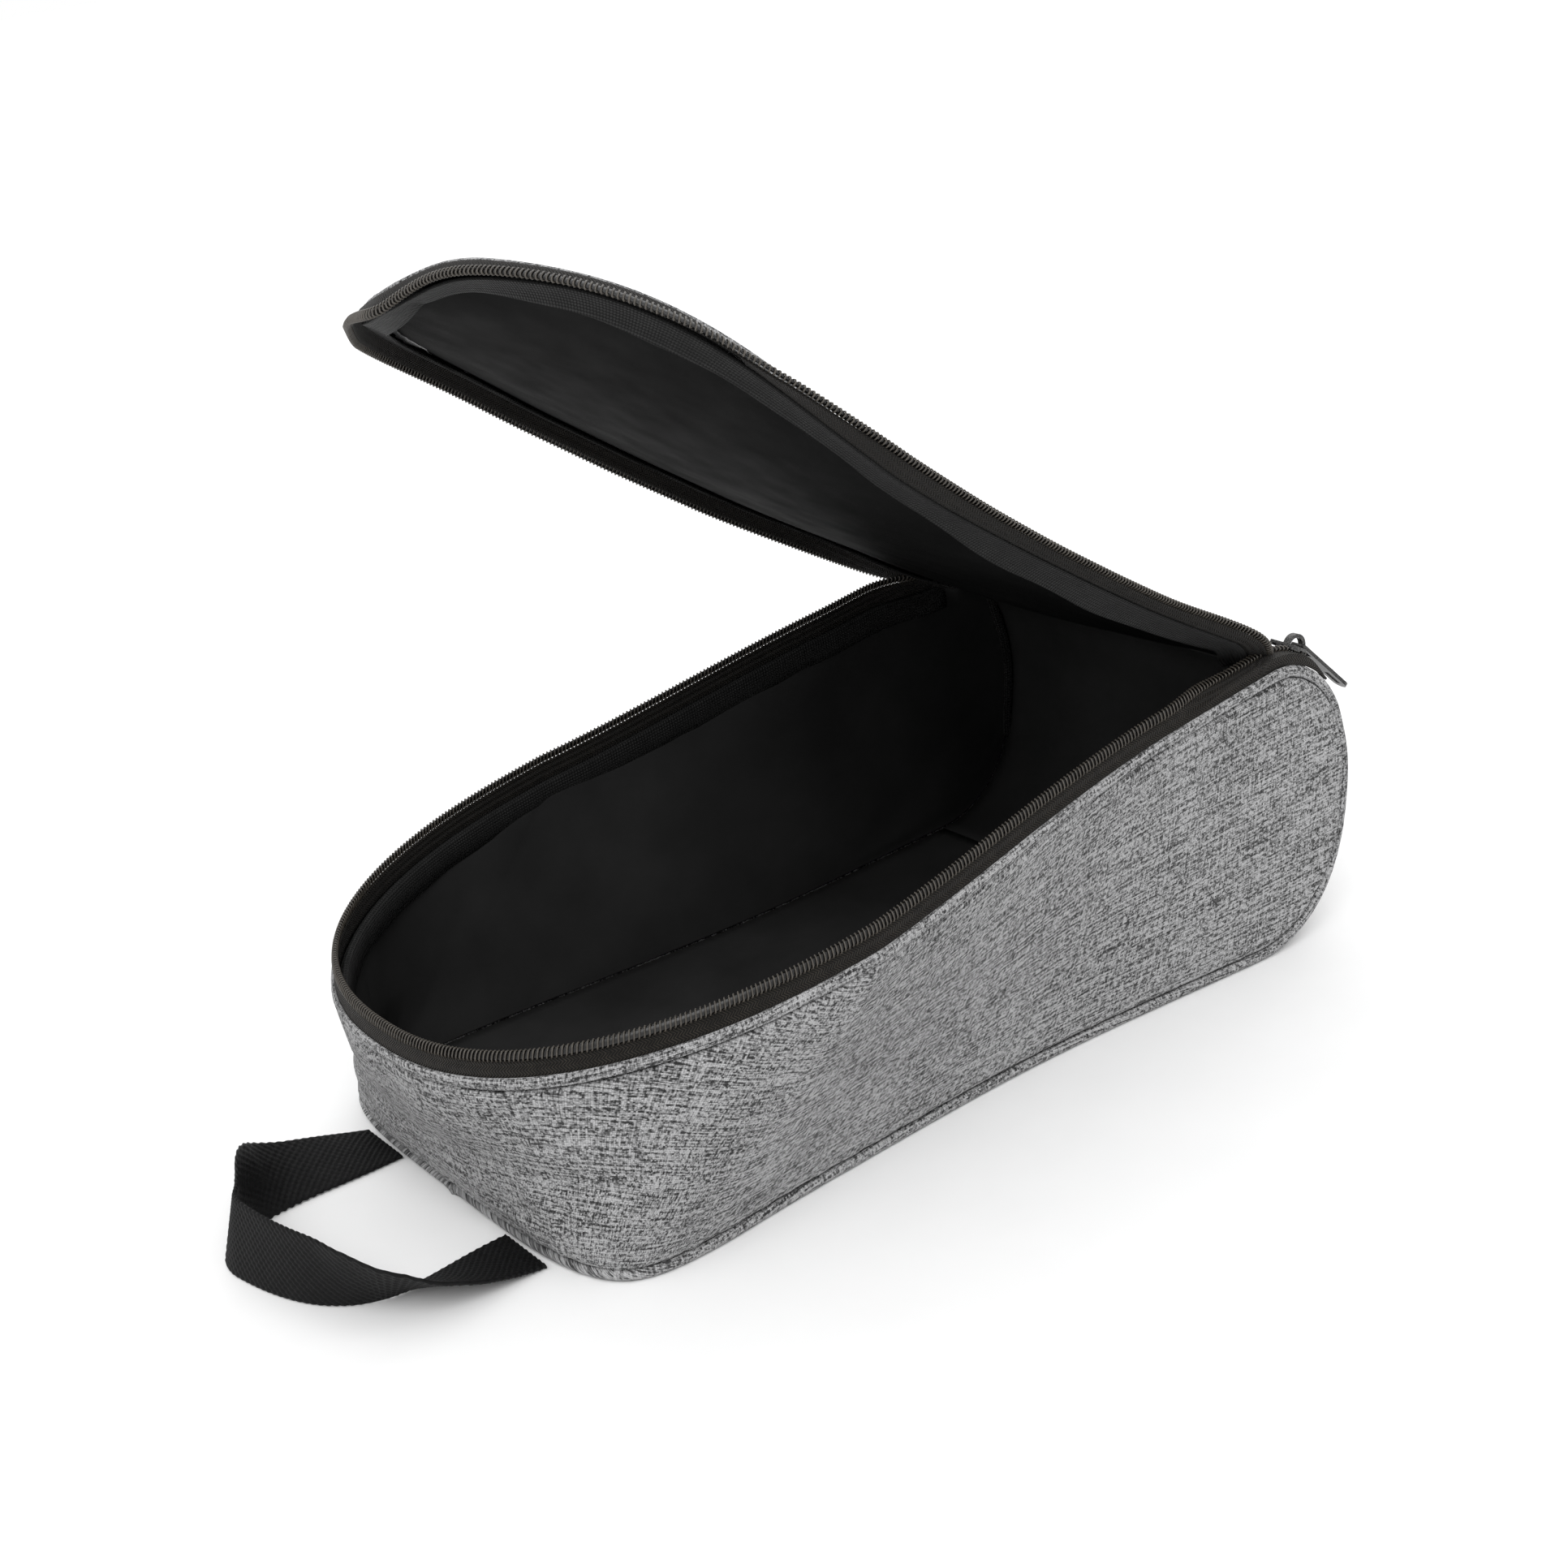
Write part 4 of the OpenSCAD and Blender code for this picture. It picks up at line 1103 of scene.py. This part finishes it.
def lid_outer():
    grid, n, uv, d = lid_face()
    lift = 0.5 * ripple(grid, 41, 60) * (1 - np.exp(-d / 14)) + tuck(LID_ROOT_D[:, None] + 0 * d, 1.2, 3.0)
    round_edge = -1.4 * (1 - np.clip(d / 2.2, 0, 1)) ** 2
    ob = sheet_mesh("lid_panel", grid + n * 1.9 + n * (lift + round_edge)[..., None], uv)
    pins = lid_pins(d, 2.0, 6)
    growth = np.full(len(pins), 0.25)
    simulate(ob, pins, growth, 3.0, pressure=0.3, gravity=0.4, bend=0.8, frames=18, keep=along(n))
    thick(ob, LID_T)
    return finish_piece(ob, HEATHER)


def lid_inner():
    grid, n, uv, d = lid_face()
    sag = -(1 - np.exp(-(d / 18) ** 2)) * (0.9 + 0.9 * ripple(grid, 47, 75))
    under = grid - n * 1.7 + n * sag[..., None]
    ob = sheet_mesh("lid_lining_panel", under, uv, flip=True)
    pins = lid_pins(d, 9.0, 8)
    growth = np.full(len(pins), 0.35)
    simulate(ob, pins, growth, 4.0, gravity=0.8, bend=0.15, frames=20, keep=along(n, 0.3))
    thick(ob, LINING_T)
    finish_piece(ob, LID_LINING_PAINTED_SHADE)
    declare_sheet(under)
    return ob


lid_cloth = lid_outer()
lid_lining = lid_inner()
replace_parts(lid_cloth, "lid_shell", "lid_foam", "hinge_fold")
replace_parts(lid_lining, "lid_lining")

# Place along the lid's edge: closed x on the near side, then counted on past the tip
LID_GUIDE = np.concatenate([NEAR_GUIDE, 2 * RIM_TIP_X - FAR_GUIDE[-2::-1]])


def lid_rail_frames(step):
    """Lid edge at even steps: points, arc length, outward and up directions, closed x as a guide."""
    line, at = resample(LID_RAIL, step)
    t = unit(smooth_rows(np.gradient(line, axis=0), 3))
    half = unit(np.cross(np.gradient((LID_NEAR + LID_FAR) / 2, axis=0), LID_FAR - LID_NEAR))
    half[-3:] = half[-4]
    half = smooth_rows(half * np.sign(half[:, 2:3]), 20)
    n = unit(between(at, LID_RAIL_AT, np.concatenate([half, half[-2::-1]])))
    out = unit(np.cross(n, t))
    out = out * np.sign(np.median(np.sign(((line - LID_RAIL.mean(0)) * out).sum(1))))
    n = unit(np.cross(t, out))
    return line, at, out, n * np.sign(np.median(n[:, 2])), np.interp(at, LID_RAIL_AT, LID_GUIDE)


def beside(line, out, n, sec):
    """Points beside a line, from places [outwards, up] in its own section."""
    return line + out * sec[..., :1] + n * sec[..., 1:]


def lid_swept(name, frames, sec, shift=0.0):
    """Closed tube of that section along the lid's edge."""
    line, at, out, n = (v[:, None] if v.ndim > 1 else v for v in frames[:4])
    return swept(name, at, beside(line, out, n, sec), shift)


def lid_band():
    sec = np.array([[-2.6, 2.0], [-1.4, 1.9], [-0.6, 1.6], [-0.1, 1.0], [0.1, 0.2], [0.1, -0.6], [-0.1, -1.3],
        [-0.6, -1.7], [-1.3, -1.8], [-1.6, -0.6], [-1.8, 0.6], [-2.6, 1.2]])
    ob = lid_swept("lid_edge_strip", lid_rail_frames(2.5), sec[None], 600)
    finish_piece(ob, HEATHER)
    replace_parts(ob, "lid_band")
    return ob


lid_strip = lid_band()

# Swing of the lid's zipper about the cloth edge: [place along the edge, degrees], where 0 hangs
# square to the lid, 90 points outwards and 180 stands up; and the lean of the binding inside it,
# where 0 lies flat against the lining
SWING = np.array([[140, 90], [118, 122], [100, 120], [84, 113], [20, 113], [-10, 120], [-30, 128], [-45, 128],
    [-62, 116], [-80, 100], [-98, 85], [-112, 60], [-122, 48], [-140, 48], [-166, 45], [-171, 32], [-178, 20],
    [-200, 8], [-300, 8], [-400, 14], [-445, 50], [-472, 88]])
LEAN_IN = np.array([[140, 12], [118, 22], [97, 32], [84, 42], [66, 48], [45, 42], [20, 38], [-3, 30],
    [-25, 14], [-45, 10], [-90, 12], [-104, 22], [-120, 30], [-158, 28], [-166, 18], [-200, 8], [-230, 5],
    [-472, 5]])


def along_edge(table, guide):
    """A table's value at each place along the edge, eased, in radians."""
    value = np.interp(-guide, -table[:, 0], table[:, 1])
    k = 8
    return np.radians(np.convolve(np.pad(value, k, "edge"), np.ones(2 * k + 1) / (2 * k + 1), "valid"))


def ribbon(path, half):
    """Closed section round a flat strip that follows a path of 2-D points (n, k, 2)."""
    t = unit(np.gradient(path, axis=1))
    side = np.stack([-t[..., 1], t[..., 0]], -1) * half
    return np.concatenate([path + side, (path - side)[:, ::-1]], 1)


def lid_strip_path(swing, near, reach):
    """Path of the lid's zipper tape in its own section, as [outwards, up]: it leaves the underside
    of the cloth, turns round the edge and runs on at the swing's angle."""
    d = np.stack([np.sin(swing), -np.cos(swing)], -1)
    hangs = (near * ease((math.radians(90) - swing) / math.radians(45)))[:, None]
    start = mix(np.array([-3.0, -2.0]), np.array([-0.8, 0.9]), hangs)
    turn = mix(np.stack([0.1 + 0.3 * np.sin(swing), -2.2 + 0 * swing], -1), np.array([0.6, 0.8]), hangs)
    path = np.stack([start, mix(start, turn, 0.6)] + [turn + d * t for t in reach], 1)
    for _ in range(2):
        path[:, 1:4] = (path[:, 0:3] + path[:, 1:4] * 2 + path[:, 2:5]) / 4
    return path, turn, d


def upper_zip():
    frames = lid_rail_frames(1.5)
    line, at, out, n, guide = frames
    near = ease((guide + 196) / 20)
    path, turn, lie = lid_strip_path(along_edge(SWING, guide), near, TAPE_STEPS + [TAPE_W + 1.3])
    tape = lid_swept("lid_zip_tape", frames, ribbon(path, TAPE_T / 2))
    finish_piece(tape, LID_TAPE_PAINTED_SHADE)
    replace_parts(tape, "zipper_tape_upper")
    d = out * lie[:, :1] + n * lie[:, 1:]
    m = out * -lie[:, 1:] + n * lie[:, :1]
    centre = beside(line, out, n, turn + lie * (TAPE_W - 0.3 + COIL_W / 2)) + m * (COIL_T + TAPE_T) * 0.42
    coil = coil_mesh("lid_zip_coil", centre, d, m, at)
    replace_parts(coil, "zipper_coil_upper")
    return tape, coil


lid_tape, lid_coil = upper_zip()


def lid_binding():
    """Mesh binding over the seam between lining and zipper. It lies against the lining where the
    zipper hangs, and turns down with the seam where the zipper stands up."""
    frames = lid_rail_frames(2.5)
    line, guide = frames[0], frames[4]
    lean = along_edge(LEAN_IN, guide)
    b = np.stack([-np.cos(lean), -np.sin(lean)], -1)
    wide = BINDING_W - 1.2 * bell(guide, -170, 16) + 0.7 * ripple(line, 53, 30)
    start = np.stack([-0.3 + 0 * guide, -2.75 - 1.2 * bell(guide, -167, 13)], -1)
    path = np.stack([start + b * (wide * t)[:, None] for t in np.linspace(0, 1, 7)], 1)
    curl = np.array([0, 0.1, 0.3, 0.4, 0.3, 0.1, -0.3])
    path = path + np.stack([b[:, 1], -b[:, 0]], -1)[:, None] * curl[None, :, None]
    ob = lid_swept("lid_binding_strip", frames, ribbon(path, 0.35))
    finish_piece(ob, BINDING)
    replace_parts(ob, "lid_binding")
    return ob


lid_bind = lid_binding()

for _ob in (lid_cloth, lid_lining, lid_strip, lid_tape, lid_coil, lid_bind):
    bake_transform(_ob)

# ---- Linings

# How far inside the cloth the linings lie, and how far their side edges stay from it
WALL_LINING_D, HEEL_LINING_D, FLOOR_H = 3.55, 3.7, 3.6
LINING_IN, FLOOR_IN = 4.1, 4.15


def wall_lining():
    grid, uv = wall_grid(WALL_LINING_D)
    n = grid_normals(grid)
    d = edge_distance()
    soft = (1 - np.exp(-d / 10)) * (0.5 + 0.7 * ripple(grid, 61, 55))
    grid = slack(grid - n * np.maximum(soft, 0)[..., None])
    ob = sheet_mesh("wall_lining_panel", grid, uv, flip=True)
    pins = (d < 3).ravel().astype(float)
    growth = np.full(len(pins), 0.3)
    simulate(ob, pins, growth, 3.0, gravity=0.6, bend=0.1, frames=18, keep=along(n, 0))
    thick(ob, LINING_T, 1.0)
    finish_piece(ob, LINING_PAINTED_LIGHT)
    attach(ob, "bag")
    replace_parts(ob, "wall_lining")
    declare_sheet(grid)


def heel_lining():
    prof = heel_profile(HEEL_LINING_D, 14)[0]
    t = np.linspace(-1, 1, 33)
    half = np.minimum(HEEL_W / 2, bottom_half(prof[:, 0])) - LINING_IN
    half[:len(prof) - ARC - 1] = HEEL_W / 2 - LINING_IN
    grid = prof[:, None] + (half[:, None] * t)[..., None] * [0, 1, 0]
    at = lengths(prof)
    soft = (1 - np.abs(t[None]) ** 6) * (0.6 + 0.8 * ripple(grid, 67, 50))
    grid[..., 0] -= np.maximum(soft * ease(from_ends(at) / 20)[:, None], 0)
    grid = slack(grid)
    ob = sheet_mesh("heel_lining_panel", grid, cloth_map(at[:, None], grid[..., 1] + 700))
    thick(ob, LINING_T)
    finish_piece(ob, LINING_PAINTED_LIGHT)
    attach(ob, "bag")
    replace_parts(ob, "heel_lining")
    declare_sheet(grid)


def floor_lining():
    rail = bottom_rail(0)[ARC:]
    t = np.linspace(-1, 1, 33)
    grid = np.zeros((len(rail), len(t), 3))
    grid[..., 0] = np.maximum(rail[:, :1], TOE_X + FLOOR_IN)
    grid[..., 1] = np.clip(rail[:, 1:2] - FLOOR_IN, 0, None) * t
    grid[..., 2] = FLOOR_H + 0.35 * (1 - np.abs(t[None]) ** 8) * (1 + ripple(grid, 71, 60))
    ob = sheet_mesh("floor_lining_panel", grid, cloth_map(grid[..., 0] + 400, grid[..., 1] + 400))
    thick(ob, LINING_T)
    finish_piece(ob, LINING_PAINTED_LIGHT)
    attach(ob, "bag")
    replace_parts(ob, "bottom_lining")
    declare_sheet(grid)


wall_lining()
heel_lining()
floor_lining()


def rim_binding():
    line, at = rim_line()
    inward, up = rail_frames(line)
    drop = 10.5 + 0.6 * ripple(line[:, :3], 73, 30)
    sec = [(3.2, -1.5, 0), (4.9, -1.6, 0), (5.3, -3.0, 0), (5.3, 0.0, 1), (4.6, 0.2, 1), (4.0, 0.0, 1)]
    rise = np.stack([high - drop * hangs for _, high, hangs in sec], 1)
    depth = np.tile([row[0] for row in sec], (len(line), 1))
    ob = swept("rim_inner_binding", at, section_rings(line, inward, up, depth, rise), flip=True)
    finish_piece(ob, BINDING)
    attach(ob, "bag")
    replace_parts(ob, "rim_binding")


rim_binding()


def corner_binding(sign, name):
    """Rounded binding down the inner corner between the wall and the heel."""
    y = sign * (HEEL_W / 2 - 5.2)
    z = np.linspace(30, 88, 24)
    rings = []
    for x, high in zip(HEEL_X - 4.6 - 0.9 * ease((z - 66) / 26), z):
        ring = []
        for a in np.linspace(0, 2 * math.pi, 17)[:-1]:
            flat = 1.2 + 1.5 * max(0, -math.cos(a)) * abs(math.sin(2 * a))
            out = 2.0 * math.cos(a) * flat / 1.6
            ring.append([x - 0.6 + out, y + sign * (0.6 + 1.5 * math.sin(a)), high])
        rings.append(ring)
    ob = swept(name, z - z[0], slack(np.array(rings)), flip=sign > 0)
    finish_piece(ob, BINDING)
    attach(ob, "bag")
    return ob


near_corner = corner_binding(-1, "heel_corner_binding_near")
far_corner = corner_binding(1, "heel_corner_binding_far")
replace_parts(near_corner, "heel_binding_near")
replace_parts(far_corner, "heel_binding_far")

# ---- Handle

# Lower edge of the webbing: [distance out from the toe, y, tilt of the width in degrees]
ROUTE = np.array([[0.6, -36, 0], [8, -36, 2], [18, -37, 7], [28, -38.5, 16], [37, -39, 32], [46, -37, 60],
    [54, -31, 84], [61, -21, 94], [66, -8, 100], [69, 5, 104], [70.5, 15, 107], [67, 24, 109], [59, 30, 104],
    [51, 32, 80], [43, 32.5, 48], [35, 33, 28], [26, 32.6, 19], [14, 32, 10], [0.6, 32, 0]], float)
WEB_W, WEB_T = 25.0, 1.6
PICK, RIB_PITCH = 1.3, 1.32


def eased_route():
    """The route at fine even steps with its corners rounded; its ends stay where they are."""
    at = lengths(ROUTE[:, :2])
    r = between(np.linspace(0, at[-1], 560), at, ROUTE)
    ends = r[[0, -1]].copy()
    pad = np.concatenate([2 * r[:1] - r[20:0:-1], r, 2 * r[-1:] - r[-2:-22:-1]])
    r = np.stack([np.convolve(pad[:, k], np.ones(41) / 41, "valid") for k in range(3)], 1)
    r[0], r[-1] = ends
    return r


def strap():
    r = eased_route()
    tilt = np.radians(r[:, 2])
    low = columns((TOE_X - r[:, 0], r[:, 1], 0.1 + WEB_T / 2 * np.cos(tilt)))
    run = unit(np.gradient(low * [1, 1, 0], axis=0))
    out = columns((-run[:, 1], run[:, 0], 0))
    w = out * np.cos(tilt)[:, None] + np.array([0, 0, 1.0]) * np.sin(tilt)[:, None]
    n = np.cross(run, w)
    at = lengths(low)
    s = np.linspace(0, at[-1], int(at[-1] / (PICK / 3)))
    low, w, n = between(s, at, low), unit(between(s, at, w)), unit(between(s, at, n))
    v = np.linspace(0, WEB_W, 58)
    edge = np.clip(np.minimum(v, WEB_W - v) / 0.9, 0, 1)
    half = WEB_T / 2 * np.sqrt(1 - (1 - edge) ** 2) * 0.8
    wave = np.cos(2 * math.pi * s / (2 * PICK))
    rib = 0.24 * (wave[:, None] * np.cos(2 * math.pi * v[None] / (2 * RIB_PITCH))) * edge[None] ** 0.5
    tooth = np.where(v < 0.8, -1, np.where(v > WEB_W - 0.8, 1, 0))[None] * (0.22 * wave)[:, None]
    flat = low[:, None] + w[:, None] * (v[None] + tooth)[..., None]
    top, bottom = (flat + n[:, None] * (side + rib)[..., None] for side in (half, -half))
    rings = np.concatenate([top, bottom[:, -2:0:-1]], 1)
    rings[..., 2] = np.maximum(rings[..., 2], 0.05)
    uv = cloth_map(s[:, None], np.concatenate([v, 60 - v[-2:0:-1]])[None])
    ob = swept_mesh("handle_strap", [(rings, uv)], flip=True)
    finish_piece(ob, WEBBING)
    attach(ob, "handle")
    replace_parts(ob, "handle_webbing")
    print("sheet handle_strap: flat %.0f x %.0f mm" % (WEB_W, at[-1]))


strap()

# ---- Bar tacks and metal

def bar_tack(sign, name):
    """Eight stitches across the end of the zipper, on the heel's round corner."""
    turn = math.radians(60)
    centre = np.array([UPPER_X, sign * (HEEL_W / 2 - 3.9), UPPER_Z])
    radial = np.array([math.sin(turn), 0, math.cos(turn)])
    ahead = np.array([math.cos(turn), 0, -math.sin(turn)])
    a = np.linspace(-1, 1, 7)[:, None]
    parts = []
    for k in range(8):
        line = centre + radial * (UPPER_R + 0.5) + ahead * a + np.array([0, sign * (k - 3.5) * 0.5, 0]) \
            + radial * (0.35 * (1 - a**2))
        parts.append(tube(line, 0.27, 6, radial))
    ob = swept_mesh(name, parts)
    finish_piece(ob, THREAD_DARK)
    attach(ob, "bag")
    return ob


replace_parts(bar_tack(-1, "zip_tack_near"), "zipper_tack_near")
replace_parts(bar_tack(1, "zip_tack_far"), "zipper_tack_far")

# The first word that a part's name has gives its look
LOOKS = [("slider", METAL), ("puller", METAL), ("foam", FOAM), ("board", BOARD), ("lining", LINING_PAINTED_LIGHT),
    ("binding", BINDING), ("tape", TAPE), ("coil", COIL), ("tack", COIL), ("webbing", WEBBING), ("", HEATHER)]
for _name, _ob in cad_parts.items():
    _ob.data.materials.clear()
    _ob.data.materials.append(next(look for word, look in LOOKS if word in _name))
